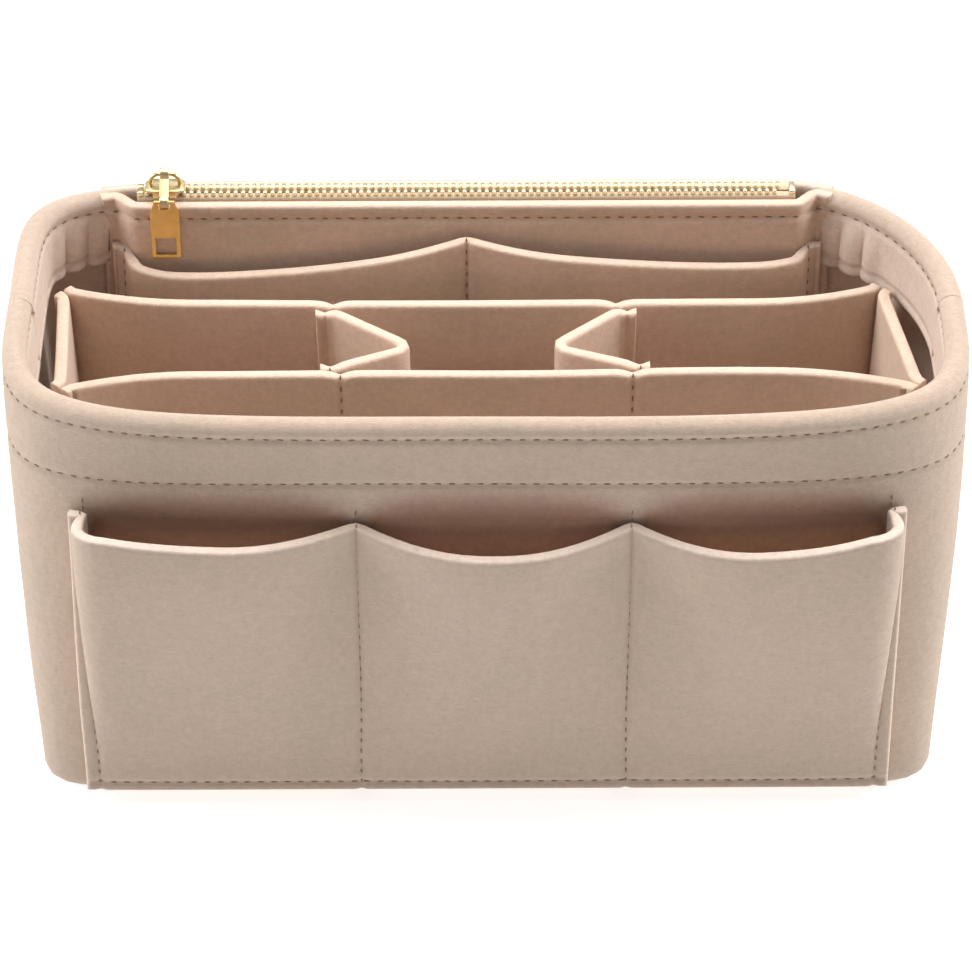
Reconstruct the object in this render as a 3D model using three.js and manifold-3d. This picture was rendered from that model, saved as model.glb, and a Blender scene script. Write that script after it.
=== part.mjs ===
// Felt purse organizer insert: hemmed outer wall, base, outer and inner pockets, a tray, a zipped pocket.
// Millimetres, +Z up, +X along the length, +Y to the back. The origin is in the middle under the base.
import * as THREE from 'three';
import Module from 'manifold-3d';
import { mergeVertices } from 'three/addons/utils/BufferGeometryUtils.js';

const { clamp, degToRad, lerp, radToDeg, smoothstep } = THREE.MathUtils;

// Driving dimensions of the outer wall and base
const HEIGHT = 150;
const RIM_LENGTH = 302;
const RIM_DEPTH = 137;
const BASE_LENGTH = 288;
const BASE_DEPTH = 132;
const FELT = 4;
const SEAM_GAP = 0.3; // between two layers that are sewn together
const FRONT_RIM_SQUARENESS = 4.2; // power of the rounded outline: larger is squarer
const BACK_RIM_SQUARENESS = 6.5;
const BASE_SQUARENESS = 18;
const REAR_RIGHT_ROUND = 58; // length of the right rear corner, which is a quarter of an ellipse
const BOTTOM_FOLD = 3; // inside radius where the wall turns in under the base
const HEM_DEPTH = 26;

// Driving dimensions of the front pockets
const POCKET_SIDE_INSET = 15; // from the end of the base to the edge of the panel
const POCKET_FLANGE = 4.5;
const MIDDLE_POCKET_WIDTH = 85;
const POCKET_BOTTOM = 5.5;
const POCKET_POST_DROP = 33; // below the rim, at the panel's two ends
const POCKET_SEAM_DROP = 36; // below the rim, at the two inner seams
const POCKET_SEAM_SHIFT = 2; // of the two inner seams, to the right
const POCKET_SCOOP = 6.2;
const LEFT_POCKET_SCOOP = 3.2;
const POCKET_SWELL = 10;
const MOUTH_POWER = 2.4; // of the scooped mouths: larger is flatter in the middle
const SWELL_POWER = 4; // of a pocket's swelling front: larger rises more steeply beside the seams

// Driving dimensions of the zipped pocket and the slip pockets on it
const ZIP_PANEL_LEFT_INSET = 26; // from the end of the rim to the edge of the panel
const ZIP_PANEL_RIGHT_INSET = 38;
const ZIP_PANEL_FLANGE = 4;
const ZIP_PANEL_BEND = 8;
const ZIP_PANEL_BOTTOM = 12;
const ZIP_PANEL_STRAIGHT_DROP = 50; // the panel hangs straight for this far below the rim
const SLIP_SIDE_INSET = 3; // from the edge of the zip panel to the edge of the slip panel
const SLIP_FLANGE = 5;
const SLIP_SEAM_OFFSET = 0; // of the middle seam from the middle of the panel
const SLIP_BOTTOM = 40;
const SLIP_POST_DROP = 17; // below the rim, at the panel's two ends
const SLIP_SEAM_DROP = 9.6; // below the rim, at the middle seam
const SLIP_LEFT_SCOOP = 6.5;
const SLIP_RIGHT_SCOOP = 4;
const SLIP_LEFT_SKEW = 0.7; // below 1, the left mouth is lowest nearer its left end
const SLIP_SWELL = 5;

// Driving dimensions of the tray
const TRAY_DROP = 22; // of the tray's top below the rim
const REAR_ROOM = 11; // between the slip pockets and the tray
const TRAY_DEPTH = 38.5;
const TRAY_FLARE = 7; // by which the long sides stand out at their ends
const TRAY_FLARE_LENGTH = 40;
const TRAY_SIDE_ROOM = 15.9; // from the outside of the wall to the tray's end panel, on the average
const TRAY_SHIFT = -1.6; // of the whole tray along the length
const TRAY_LEFT_SKEW = 0.04; // the soft tray leans: its back stands further left than its front
const TRAY_RIGHT_SKEW = 0.15;
const TRAY_TAB = 2.5;
const TRAY_CORNER = 5;
const GUSSET_SEAM_X = 46;
const GUSSET_APEX_X = 22;
const GUSSET_APEX_FORWARD = 4.5; // of the middle of the tray
const GUSSET_TAB = 6;
const GUSSET_FOLD = 3.2;

// Driving dimensions of the zip
const TAPE = 0.6;
const TAPE_TURN_DOWN = 10;
const CHAIN_WIDTH = 5.6;
const CHAIN_SLOT = 1.2; // open line between the two rows, where the slider's web runs
const CHAIN_THICKNESS = 1.4;
const TOOTH_PITCH = 2.4;
const TOOTH_WIDTH = 1.3;
const TOOTH_LENGTH = 1;
const STOP_LENGTH = 2;
const SLIDER_LENGTH = 13;
const SLIDER_FLANGE = 0.8;
const SLIDER_PLATE = 1;
const SLIDER_UNDER_WIDTH = 4.4;
const SLIDER_WEB_LENGTH = 7;
const BRIDGE_LENGTH = 11;
const BRIDGE_POST = 1.8;
const BRIDGE_BAR = 1.5;
const BRIDGE_ROOM = 3.4; // under the bridge's bar
const ZIP_CLEARANCE = 0.3;

// Driving dimensions of the pull
const LINK_WIDTH = 3;
const LINK_WALL = 0.8;
const LINK_WAIST = 1.6;
const LINK_DROP = 5.5;
const TAB_WIDTH = 9.6;
const TAB_NECK_WIDTH = 6.6;
const TAB_NECK_LENGTH = 4.5;
const TAB_LENGTH = 21.7;
const TAB_THICKNESS = 1.2;
const TAB_BAR = 1.2;
const TAB_RAIL = 1.5;
const TAB_CORNER = 1.1;
const TAB_WINDOW_LENGTH = 6.5;
const PULL_CLEARANCE = 0.4;

// Facet counts
const OUTLINE_STEPS = 32; // along each half of the wall
const LEVEL_STEPS = 4;
const ROUND_STEPS = 3;
const POCKET_STEPS = 8;
const ZIP_STEPS = 24; // along the zip
const BEND_STEPS = 6;
const EYE_STEPS = 16;

// Colours and finishes
const feltFinish = new THREE.MeshStandardMaterial({ color: 0xb8a793, roughness: 0.95, metalness: 0 });
const liningFinish = new THREE.MeshStandardMaterial({ color: 0xa38a76, roughness: 0.95, metalness: 0 });
const tapeFinish = new THREE.MeshStandardMaterial({ color: 0xd9c6a5, roughness: 0.85, metalness: 0 });
const teethFinish = new THREE.MeshStandardMaterial({ color: 0xe6d3a0, roughness: 0.3, metalness: 1 });
const goldFinish = new THREE.MeshStandardMaterial({ color: 0xc9a452, roughness: 0.25, metalness: 1 });

const wasm = await Module();
wasm.setup();

const organizer = new THREE.Group();

function addPiece(name, geometry, material) {
  const mesh = new THREE.Mesh(geometry, material);
  mesh.name = name;
  organizer.add(mesh);
  return mesh;
}

function spread(from, to, steps) {
  return Array.from({ length: steps + 1 }, (_, i) => lerp(from, to, i / steps));
}

function arc(centreX, centreY, radius, fromDegrees, toDegrees, steps) {
  return spread(degToRad(fromDegrees), degToRad(toDegrees), steps).map(
    (angle) => new THREE.Vector2(centreX + radius * Math.cos(angle), centreY + radius * Math.sin(angle)),
  );
}

// Solids from rings of points

function closedGeometry(points, triangles) {
  let volume = 0;
  for (const [a, b, c] of triangles) {
    volume += points[a].dot(new THREE.Vector3().crossVectors(points[b], points[c]));
  }
  const facing = volume > 0 ? triangles : triangles.map(([a, b, c]) => [a, c, b]);
  const geometry = new THREE.BufferGeometry().setFromPoints(points);
  geometry.setIndex(facing.flat());
  return geometry;
}

// Skins a row of rings that all have the same number of points, and closes both ends with the cap.
function loft(rings, cap) {
  const count = rings[0].length;
  const last = (rings.length - 1) * count;
  const triangles = [];
  for (let ring = 0; ring < last; ring += count) {
    for (let i = 0; i < count; i += 1) {
      const j = (i + 1) % count;
      triangles.push([ring + i, ring + j, ring + count + j]);
      triangles.push([ring + i, ring + count + j, ring + count + i]);
    }
  }
  for (const corners of cap) {
    const [a, b, c] = [...corners].sort((p, q) => p - q);
    triangles.push([a, c, b], [last + a, last + b, last + c]);
  }
  return closedGeometry(rings.flat(), triangles);
}

// A sheet whose columns run from one end to the other, each with a near face and a far face.
function sheet(columns) {
  const height = columns[0].near.length;
  const cap = [];
  for (let i = 0; i + 1 < height; i += 1) {
    const across = 2 * height - 1 - i;
    cap.push([i, i + 1, across - 1], [i, across - 1, across]);
  }
  return loft(columns.map(({ near, far }) => [...near, ...[...far].reverse()]), cap);
}

function asSolid(geometry) {
  const plain = geometry.clone();
  plain.deleteAttribute('normal');
  plain.deleteAttribute('uv');
  const merged = mergeVertices(plain);
  return new wasm.Manifold(
    new wasm.Mesh({
      numProp: 3,
      vertProperties: new Float32Array(merged.attributes.position.array),
      triVerts: new Uint32Array(merged.index.array),
    }),
  );
}

function joined(geometries) {
  const [first, ...others] = geometries.map(asSolid);
  const mesh = others.reduce((whole, solid) => whole.add(solid), first).getMesh();
  const geometry = new THREE.BufferGeometry();
  geometry.setAttribute('position', new THREE.BufferAttribute(new Float32Array(mesh.vertProperties), 3));
  geometry.setIndex(Array.from(mesh.triVerts));
  return geometry;
}

function block(fromX, toX, fromY, toY, fromZ, toZ) {
  const geometry = new THREE.BoxGeometry(toX - fromX, toY - fromY, toZ - fromZ);
  return geometry.translate((fromX + toX) / 2, (fromY + toY) / 2, (fromZ + toZ) / 2);
}

// Outline of the outer wall

const FRONT = -1;
const BACK = 1;

// The half sizes of the wall at a height, and the corner on that side: where it starts and its power.
function wallSize(z, inset, side, right) {
  const share = z / HEIGHT;
  const outside = lerp(BASE_LENGTH, RIM_LENGTH, share) / 2;
  const rimPower = side === BACK ? BACK_RIM_SQUARENESS : FRONT_RIM_SQUARENESS;
  const elliptic = side === BACK && right;
  return {
    halfLength: outside - inset,
    halfDepth: lerp(BASE_DEPTH, RIM_DEPTH, share) / 2 - inset,
    start: elliptic ? outside - REAR_RIGHT_ROUND : 0,
    power: elliptic ? 2 : lerp(BASE_SQUARENESS, rimPower, share),
  };
}

// A point of the wall: the angle runs from the right side seam (0) to the left one (half a turn).
function wallPoint(angle, z, inset, side) {
  const along = Math.cos(angle);
  const { halfLength, halfDepth, start, power } = wallSize(z, inset, side, along > 0);
  const x = Math.sign(along) * lerp(start, halfLength, Math.abs(along) ** (2 / power));
  const y = halfDepth * Math.max(Math.sin(angle), 0) ** (2 / power);
  return new THREE.Vector3(x, side * Math.max(y, SEAM_GAP / 2), z);
}

// How far the wall stands from the long middle plane at a given place along it.
function wallDepth(x, z, inset, side) {
  const { halfLength, halfDepth, start, power } = wallSize(z, inset, side, x > 0);
  const round = Math.max(Math.abs(x) - start, 0) / (halfLength - start);
  return halfDepth * Math.max(1 - round ** power, 0) ** (1 / power);
}

// Outer wall: a strip of felt that turns in under the base, with its top folded in as a hem

const TURN_IN = FELT + BOTTOM_FOLD;
const HEM_LAP = FELT / 4;
const OUTLINE_ANGLES = spread(0, Math.PI, OUTLINE_STEPS);

function wallFoot() {
  return arc(TURN_IN, TURN_IN, TURN_IN, 270, 180, ROUND_STEPS);
}

function wallInnerFoot() {
  return arc(TURN_IN, TURN_IN, BOTTOM_FOLD, 180, 270, ROUND_STEPS);
}

function levels(inset, fromZ, toZ) {
  return spread(fromZ, toZ, LEVEL_STEPS).map((z) => new THREE.Vector2(inset, z)).slice(1, -1);
}

function hemmedSection() {
  const hemEdge = HEIGHT - HEM_DEPTH;
  return [
    ...wallFoot(),
    ...levels(0, TURN_IN, HEIGHT - FELT),
    ...arc(FELT, HEIGHT - FELT, FELT, 180, 0, 2 * ROUND_STEPS),
    new THREE.Vector2(2 * FELT, hemEdge),
    new THREE.Vector2(FELT, hemEdge),
    ...levels(FELT, hemEdge, TURN_IN),
    ...wallInnerFoot(),
  ];
}

function singleSection() {
  return [
    ...wallFoot(),
    ...levels(0, TURN_IN, HEIGHT - FELT),
    ...arc(FELT, HEIGHT - FELT, FELT, 180, 90, ROUND_STEPS),
    ...levels(FELT, HEIGHT, TURN_IN),
    ...wallInnerFoot(),
  ];
}

function facingSection() {
  const hemEdge = HEIGHT - HEM_DEPTH;
  return [
    new THREE.Vector2(FELT - HEM_LAP, hemEdge),
    new THREE.Vector2(FELT - HEM_LAP, HEIGHT - FELT),
    ...arc(FELT, HEIGHT - FELT, FELT, 90, 0, ROUND_STEPS),
    new THREE.Vector2(2 * FELT, hemEdge),
  ];
}

function wallLoft(section, rings) {
  return loft(rings, THREE.ShapeUtils.triangulateShape(section, []));
}

function wallHalf(section, side) {
  const rings = OUTLINE_ANGLES.map((angle) => section.map(({ x, y }) => wallPoint(angle, y, x, side)));
  return wallLoft(section, rings);
}

// The part of the hem between a side seam and the edge of the zip panel at endX.
function rearFacing(endX) {
  const section = facingSection();
  const end = section.map(({ x, y }) => new THREE.Vector3(endX, wallDepth(endX, y, x, BACK), y));
  const rings = OUTLINE_ANGLES.map((angle) => section.map(({ x, y }) => wallPoint(angle, y, x, BACK)));
  const outside = (point) => point.x * Math.sign(endX) > Math.abs(endX) + FELT;
  const kept = rings.filter((ring) => ring.every(outside));
  return wallLoft(section, endX > 0 ? [...kept, end] : [end, ...kept]);
}

const zipPanelLeft = -(RIM_LENGTH / 2 - ZIP_PANEL_LEFT_INSET);
const zipPanelRight = RIM_LENGTH / 2 - ZIP_PANEL_RIGHT_INSET;

addPiece('front_wall', wallHalf(hemmedSection(), FRONT), feltFinish);
addPiece(
  'back_wall',
  joined([
    wallHalf(singleSection(), BACK),
    rearFacing(zipPanelLeft - SEAM_GAP),
    rearFacing(zipPanelRight + SEAM_GAP),
  ]),
  feltFinish,
);

// Base: a flat felt panel inside the turned-in edge of the wall

function baseRing(z) {
  const inset = TURN_IN + SEAM_GAP;
  const back = OUTLINE_ANGLES.slice(0, -1).map((angle) => wallPoint(angle, 0, inset, BACK));
  const front = OUTLINE_ANGLES.slice(1).reverse().map((angle) => wallPoint(angle, 0, inset, FRONT));
  return [...back, ...front].map((point) => point.setZ(z));
}

function basePanel() {
  const outline = baseRing(0);
  const flat = outline.map((point) => new THREE.Vector2(point.x, point.y));
  return loft([outline, baseRing(FELT)], THREE.ShapeUtils.triangulateShape(flat, []));
}

addPiece('base_panel', basePanel(), feltFinish);

// Scooped mouths and swelling fronts of a row of sewn pockets

function pocketAt(x, seams) {
  const last = seams.length - 2;
  const found = seams.findIndex((seam, i) => i > 0 && x <= seam.x) - 1;
  const index = x <= seams[0].x ? 0 : found < 0 ? last : found;
  const share = clamp((x - seams[index].x) / (seams[index + 1].x - seams[index].x), 0, 1);
  return { from: seams[index], to: seams[index + 1], share };
}

function mouthHeight(x, seams) {
  const { from, to, share } = pocketAt(x, seams);
  const skewed = share ** (from.skew ?? 1);
  return lerp(from.top, to.top, share) - from.scoop * (1 - Math.abs(2 * skewed - 1) ** MOUTH_POWER);
}

function swellShare(x, seams) {
  const { share } = pocketAt(x, seams);
  return 1 - (2 * share - 1) ** SWELL_POWER;
}

function seamColumns(left, right, seams, steps) {
  const columns = [left];
  for (let i = 0; i + 1 < seams.length; i += 1) {
    columns.push(...spread(seams[i].x, seams[i + 1].x, steps).slice(i === 0 ? 0 : 1));
  }
  return [...columns, right];
}

// Front pockets: one panel sewn on the outside of the front wall

const pocketHalf = BASE_LENGTH / 2 - POCKET_SIDE_INSET;
const pocketPostTop = HEIGHT - POCKET_POST_DROP;
const pocketSeamTop = HEIGHT - POCKET_SEAM_DROP;
const pocketSeams = [
  { x: -pocketHalf + POCKET_FLANGE, top: pocketPostTop, scoop: LEFT_POCKET_SCOOP },
  { x: POCKET_SEAM_SHIFT - MIDDLE_POCKET_WIDTH / 2, top: pocketSeamTop, scoop: POCKET_SCOOP },
  { x: POCKET_SEAM_SHIFT + MIDDLE_POCKET_WIDTH / 2, top: pocketSeamTop, scoop: POCKET_SCOOP },
  { x: pocketHalf - POCKET_FLANGE, top: pocketPostTop },
];

function pocketColumn(x) {
  const heights = spread(POCKET_BOTTOM, mouthHeight(x, pocketSeams), 2 * LEVEL_STEPS);
  const face = (layer) => heights.map((z) => {
    const rise = (z - POCKET_BOTTOM) / (pocketSeamTop - POCKET_BOTTOM);
    const swell = POCKET_SWELL * swellShare(x, pocketSeams) * smoothstep(rise, 0, 1);
    return new THREE.Vector3(x, -wallDepth(x, z, -(SEAM_GAP + swell + layer), FRONT), z);
  });
  return { near: face(0), far: face(FELT) };
}

addPiece(
  'front_pocket_panel',
  sheet(seamColumns(-pocketHalf, pocketHalf, pocketSeams, POCKET_STEPS).map(pocketColumn)),
  feltFinish,
);

// Zip pocket panel: hangs inside the back wall, its ends bent back and sewn to it

// From the zip's middle line to the outside of either tape, with room for the slider's under plate.
const ZIP_HALF_ROOM = SLIDER_UNDER_WIDTH / 2 + ZIP_CLEARANCE + TAPE;
const zipLeft = zipPanelLeft + ZIP_PANEL_FLANGE + ZIP_PANEL_BEND;
const zipRight = zipPanelRight - ZIP_PANEL_FLANGE - ZIP_PANEL_BEND;
const zipY = wallDepth(zipLeft, HEIGHT, FELT + 2 * SEAM_GAP, BACK) - ZIP_HALF_ROOM;
const zipFaceRear = zipY - ZIP_HALF_ROOM - SEAM_GAP;
const zipFaceFront = zipFaceRear - FELT;
const zipStraightZ = HEIGHT - ZIP_PANEL_STRAIGHT_DROP;

function zipPanelRear(x, z) {
  const wall = wallDepth(x, z, FELT + SEAM_GAP, BACK);
  const fromLeft = smoothstep(x, zipPanelLeft + ZIP_PANEL_FLANGE, zipLeft);
  const fromRight = 1 - smoothstep(x, zipRight, zipPanelRight - ZIP_PANEL_FLANGE);
  const hang = clamp((z - ZIP_PANEL_BOTTOM) / (zipStraightZ - ZIP_PANEL_BOTTOM), 0, 1);
  return wall - fromLeft * fromRight * hang * Math.max(wall - zipFaceRear, 0);
}

function zipPanelColumns() {
  return [
    zipPanelLeft,
    ...spread(zipPanelLeft + ZIP_PANEL_FLANGE, zipLeft, BEND_STEPS),
    ...spread(zipLeft, zipRight, ZIP_STEPS).slice(1, -1),
    ...spread(zipRight, zipPanelRight - ZIP_PANEL_FLANGE, BEND_STEPS),
    zipPanelRight,
  ];
}

function zipPanelRows(bottom, top) {
  return [...spread(bottom, zipStraightZ, LEVEL_STEPS), ...spread(zipStraightZ, top, LEVEL_STEPS).slice(1)];
}

function zipPanelColumn(x) {
  const rows = zipPanelRows(ZIP_PANEL_BOTTOM, HEIGHT);
  const face = (layer) => rows.map((z) => new THREE.Vector3(x, zipPanelRear(x, z) - layer, z));
  return { near: face(0), far: face(FELT) };
}

addPiece('zip_pocket_panel', sheet(zipPanelColumns().map(zipPanelColumn)), liningFinish);

// Slip pockets: one panel sewn on the front of the zip pocket, with room behind it for the hanging pull

const SLIP_STAND_OFF = TAB_THICKNESS + 2 * PULL_CLEARANCE;
const slipLeft = zipPanelLeft + SLIP_SIDE_INSET;
const slipRight = zipPanelRight - SLIP_SIDE_INSET;
const slipPostTop = HEIGHT - SLIP_POST_DROP;
const slipSeamTop = HEIGHT - SLIP_SEAM_DROP;
const slipSeamX = (slipLeft + slipRight) / 2 + SLIP_SEAM_OFFSET;
const slipSeams = [
  { x: slipLeft + SLIP_FLANGE, top: slipPostTop, scoop: SLIP_LEFT_SCOOP, skew: SLIP_LEFT_SKEW },
  { x: slipSeamX, top: slipSeamTop, scoop: SLIP_RIGHT_SCOOP },
  { x: slipRight - SLIP_FLANGE, top: slipPostTop },
];

function slipStandOff(x, z) {
  const rise = smoothstep(z, SLIP_BOTTOM, zipStraightZ);
  const fromEnds = Math.min(x - slipSeams[0].x, slipSeams[2].x - x);
  const seamRoom = SLIP_STAND_OFF * smoothstep(fromEnds, 0, SLIP_FLANGE);
  return rise * lerp(seamRoom, SLIP_SWELL, swellShare(x, slipSeams));
}

function slipColumns() {
  const own = seamColumns(slipLeft, slipRight, slipSeams, POCKET_STEPS);
  const shared = zipPanelColumns().filter((x) => x > slipLeft && x < slipRight);
  const sorted = [...own, ...shared].sort((a, b) => a - b);
  return sorted.filter((x, i) => i === 0 || x - sorted[i - 1] > SEAM_GAP);
}

function slipColumn(x) {
  const rows = zipPanelRows(SLIP_BOTTOM, mouthHeight(x, slipSeams));
  const face = (layer) => rows.map((z) => {
    const y = zipPanelRear(x, z) - FELT - SEAM_GAP - slipStandOff(x, z) - layer;
    return new THREE.Vector3(x, y, z);
  });
  return { near: face(0), far: face(FELT) };
}

addPiece('slip_pocket_panel', sheet(slipColumns().map(slipColumn)), liningFinish);

// Tray: upright felt ribbons that follow a path seen from above

// Rounds the inner corners of a path of corner points, each to the given radius.
function roundedPath(corners, radius) {
  const path = [corners[0]];
  for (let i = 1; i + 1 < corners.length; i += 1) {
    const before = corners[i - 1].clone().sub(corners[i]).normalize();
    const after = corners[i + 1].clone().sub(corners[i]).normalize();
    const half = before.angleTo(after) / 2;
    const reach = radius / Math.tan(half);
    const toCentre = before.clone().add(after).setLength(radius / Math.sin(half));
    const centre = corners[i].clone().add(toCentre);
    const from = corners[i].clone().addScaledVector(before, reach).sub(centre);
    const turn = -Math.sign(from.cross(before)) * (Math.PI - 2 * half);
    for (const angle of spread(0, turn, BEND_STEPS)) {
      path.push(from.clone().rotateAround(new THREE.Vector2(), angle).add(centre));
    }
  }
  return [...path, corners[corners.length - 1]];
}

// An upright felt strip along a path: its foot is drawn in as the outer wall's is.
function ribbon(path) {
  const columns = path.map((point, i) => {
    const before = path[Math.max(i - 1, 0)];
    const after = path[Math.min(i + 1, path.length - 1)];
    const along = after.clone().sub(before).normalize();
    const offset = new THREE.Vector2(-along.y, along.x).multiplyScalar(FELT / 2);
    const rise = (place) => {
      const skew = lerp(TRAY_LEFT_SKEW, TRAY_RIGHT_SKEW, (place.x + trayWallHalf) / (2 * trayWallHalf));
      const x = place.x + TRAY_SHIFT - skew * (place.y - trayMiddleY);
      return [new THREE.Vector3(x * trayTaper, place.y, trayBottom), new THREE.Vector3(x, place.y, trayTop)];
    };
    return { near: rise(point.clone().add(offset)), far: rise(point.clone().sub(offset)) };
  });
  return sheet(columns);
}

const layerStep = FELT + SEAM_GAP;
const trayTop = HEIGHT - TRAY_DROP;
const trayBottom = FELT + SEAM_GAP;
const slipFrontY = zipFaceFront - SEAM_GAP - SLIP_SWELL - FELT;
const trayBackY = slipFrontY - REAR_ROOM - FELT / 2;
const trayFrontY = trayBackY - TRAY_DEPTH;
const trayMiddleY = (trayBackY + trayFrontY) / 2;
const trayWallHalf = wallSize(trayTop, 0, FRONT).halfLength;
const trayTaper = wallSize(trayBottom, 0, FRONT).halfLength / trayWallHalf;
const trayEndX = trayWallHalf - TRAY_SIDE_ROOM;
const tabReach = new THREE.Vector2(1, 1).setLength(TRAY_TAB);
const tabShift = layerStep / 2 / Math.SQRT1_2; // along a panel, to lie on its own side of the corner seam

// A long side: its ends flare and turn outward, towards the back (toward 1) or the front (toward -1).
function traySide(y, toward) {
  const half = trayEndX - tabShift;
  const flare = spread(0, 1, BEND_STEPS).map((share) => new THREE.Vector2(
    half - TRAY_FLARE_LENGTH * (1 - share),
    y + toward * TRAY_FLARE * share ** 2,
  ));
  const end = flare.at(-1).clone().add(new THREE.Vector2(tabReach.x, toward * tabReach.y));
  const right = [...flare.slice(0, -2), ...roundedPath([...flare.slice(-2), end], TRAY_CORNER)];
  const left = right.map((point) => new THREE.Vector2(-point.x, point.y)).reverse();
  return ribbon([...left, ...right]);
}

function trayEnd(sign) {
  const backTurn = new THREE.Vector2(trayEndX, trayBackY + TRAY_FLARE - tabShift);
  const frontTurn = new THREE.Vector2(trayEndX, trayFrontY - TRAY_FLARE + tabShift);
  const backEnd = backTurn.clone().add(tabReach);
  const frontEnd = frontTurn.clone().add(new THREE.Vector2(tabReach.x, -tabReach.y));
  const corners = [backEnd, backTurn, frontTurn, frontEnd];
  const placed = corners.map((point) => new THREE.Vector2(sign * point.x, point.y));
  return ribbon(roundedPath(placed, TRAY_CORNER));
}

// A gusset: a strip folded to a point in the middle, its two ends sewn flat on the tray's long sides.
function gusset(sign) {
  const backY = trayBackY - layerStep;
  const frontY = trayFrontY + layerStep;
  const corners = [
    new THREE.Vector2(GUSSET_SEAM_X + GUSSET_TAB, backY),
    new THREE.Vector2(GUSSET_SEAM_X, backY),
    new THREE.Vector2(GUSSET_APEX_X, trayMiddleY - GUSSET_APEX_FORWARD),
    new THREE.Vector2(GUSSET_SEAM_X, frontY),
    new THREE.Vector2(GUSSET_SEAM_X + GUSSET_TAB, frontY),
  ];
  const placed = corners.map((point) => new THREE.Vector2(sign * point.x, point.y));
  return ribbon(roundedPath(placed, GUSSET_FOLD));
}

addPiece('tray_back_panel', traySide(trayBackY, 1), liningFinish);
addPiece('tray_front_panel', traySide(trayFrontY, -1), liningFinish);
addPiece('tray_left_end', trayEnd(-1), liningFinish);
addPiece('tray_right_end', trayEnd(1), liningFinish);
addPiece('left_gusset', gusset(-1), liningFinish);
addPiece('right_gusset', gusset(1), liningFinish);

// Zip tapes: flat beside the teeth, then turned down on the panel in front and on the wall behind

const tapeBottom = HEIGHT + ZIP_CLEARANCE;
const tapeTop = tapeBottom + TAPE;
const slotHalf = CHAIN_SLOT / 2;

// The section of a tape at x: the outer face is a function of height, towards the felt it is sewn to.
function tapeRing(x, side, outerY) {
  const edge = zipY + side * slotHalf;
  const low = HEIGHT - TAPE_TURN_DOWN;
  const corners = [
    [edge, tapeTop],
    [outerY(tapeTop), tapeTop],
    [outerY(low), low],
    [outerY(low) - side * TAPE, low],
    [outerY(tapeBottom) - side * TAPE, tapeBottom],
    [edge, tapeBottom],
  ];
  return corners.map(([y, z]) => new THREE.Vector3(x, y, z));
}

function tape(side, outerY) {
  const rings = spread(zipLeft, zipRight, ZIP_STEPS).map((x) => tapeRing(x, side, (z) => outerY(x, z)));
  const flat = rings[0].map((point) => new THREE.Vector2(point.y, point.z));
  return loft(rings, THREE.ShapeUtils.triangulateShape(flat, []));
}

addPiece('zipper_tape_front', tape(FRONT, () => zipFaceRear + SEAM_GAP), tapeFinish);
addPiece('zipper_tape_rear', tape(BACK, (x, z) => wallDepth(x, z, FELT + 2 * SEAM_GAP, BACK)), tapeFinish);

// Zip teeth: each row is a bead with teeth that point at the other row

const chainBottom = tapeTop + ZIP_CLEARANCE;
const chainTop = chainBottom + CHAIN_THICKNESS;
const chainLeft = zipLeft + STOP_LENGTH + ZIP_CLEARANCE;
const chainRight = zipRight - STOP_LENGTH - ZIP_CLEARANCE;
const rowShift = TOOTH_PITCH / 2; // the rear row's teeth stand opposite the gaps of the front row
const firstTooth = (TOOTH_PITCH - TOOTH_WIDTH) / 4;
const toothCount = Math.floor((chainRight - chainLeft - rowShift) / TOOTH_PITCH);

// The outline of a row seen from above, with the slot's middle line at zero and the row on positive y.
function teethOutline(shift) {
  const tip = slotHalf;
  const root = slotHalf + TOOTH_LENGTH;
  const back = CHAIN_WIDTH / 2;
  const points = [[chainRight, root], [chainRight, back], [chainLeft, back], [chainLeft, root]];
  for (let i = 0; i < toothCount; i += 1) {
    const from = chainLeft + shift + i * TOOTH_PITCH;
    points.push([from, root], [from, tip], [from + TOOTH_WIDTH, tip], [from + TOOTH_WIDTH, root]);
  }
  return points;
}

function teethRow(side, shift) {
  const placed = teethOutline(shift).map(([x, y]) => new THREE.Vector2(x, zipY + side * y));
  const settings = { depth: CHAIN_THICKNESS, bevelEnabled: false };
  return new THREE.ExtrudeGeometry(new THREE.Shape(placed), settings).translate(0, 0, chainBottom);
}

addPiece('zipper_teeth_front', teethRow(FRONT, firstTooth), teethFinish);
addPiece('zipper_teeth_rear', teethRow(BACK, firstTooth + rowShift), teethFinish);

// Stops: one on each tape at the open end, one across both at the closed end

function topStop(side) {
  const [near, far] = [slotHalf, CHAIN_WIDTH / 2].map((y) => zipY + side * y).sort((a, b) => a - b);
  return block(zipLeft, zipLeft + STOP_LENGTH, near, far, chainBottom, chainTop);
}

function bottomStop() {
  const half = CHAIN_WIDTH / 2;
  return block(zipRight - STOP_LENGTH, zipRight, zipY - half, zipY + half, chainBottom, chainTop);
}

addPiece('zipper_top_stop_front', topStop(FRONT), teethFinish);
addPiece('zipper_top_stop_rear', topStop(BACK), teethFinish);
addPiece('zipper_bottom_stop', bottomStop(), teethFinish);

// Slider: a top plate with side flanges, a plate under the tapes, a web between the rows, a bridge on top

const SLIDER_WIDTH = CHAIN_WIDTH + 2 * (ZIP_CLEARANCE + SLIDER_FLANGE);
const sliderX = chainLeft + ZIP_CLEARANCE + SLIDER_LENGTH / 2;
const plateBottom = chainTop + ZIP_CLEARANCE;
const plateTop = plateBottom + SLIDER_PLATE;
const underTop = tapeBottom - ZIP_CLEARANCE;
const underBottom = underTop - SLIDER_PLATE;
const webHalf = slotHalf - ZIP_CLEARANCE;
const plateLap = SLIDER_PLATE / 2;
const plateRound = 1 / 3; // of a plate's width
const barBottom = plateTop + BRIDGE_ROOM;
const barTop = barBottom + BRIDGE_BAR;
const barZ = (barBottom + barTop) / 2;

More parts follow.
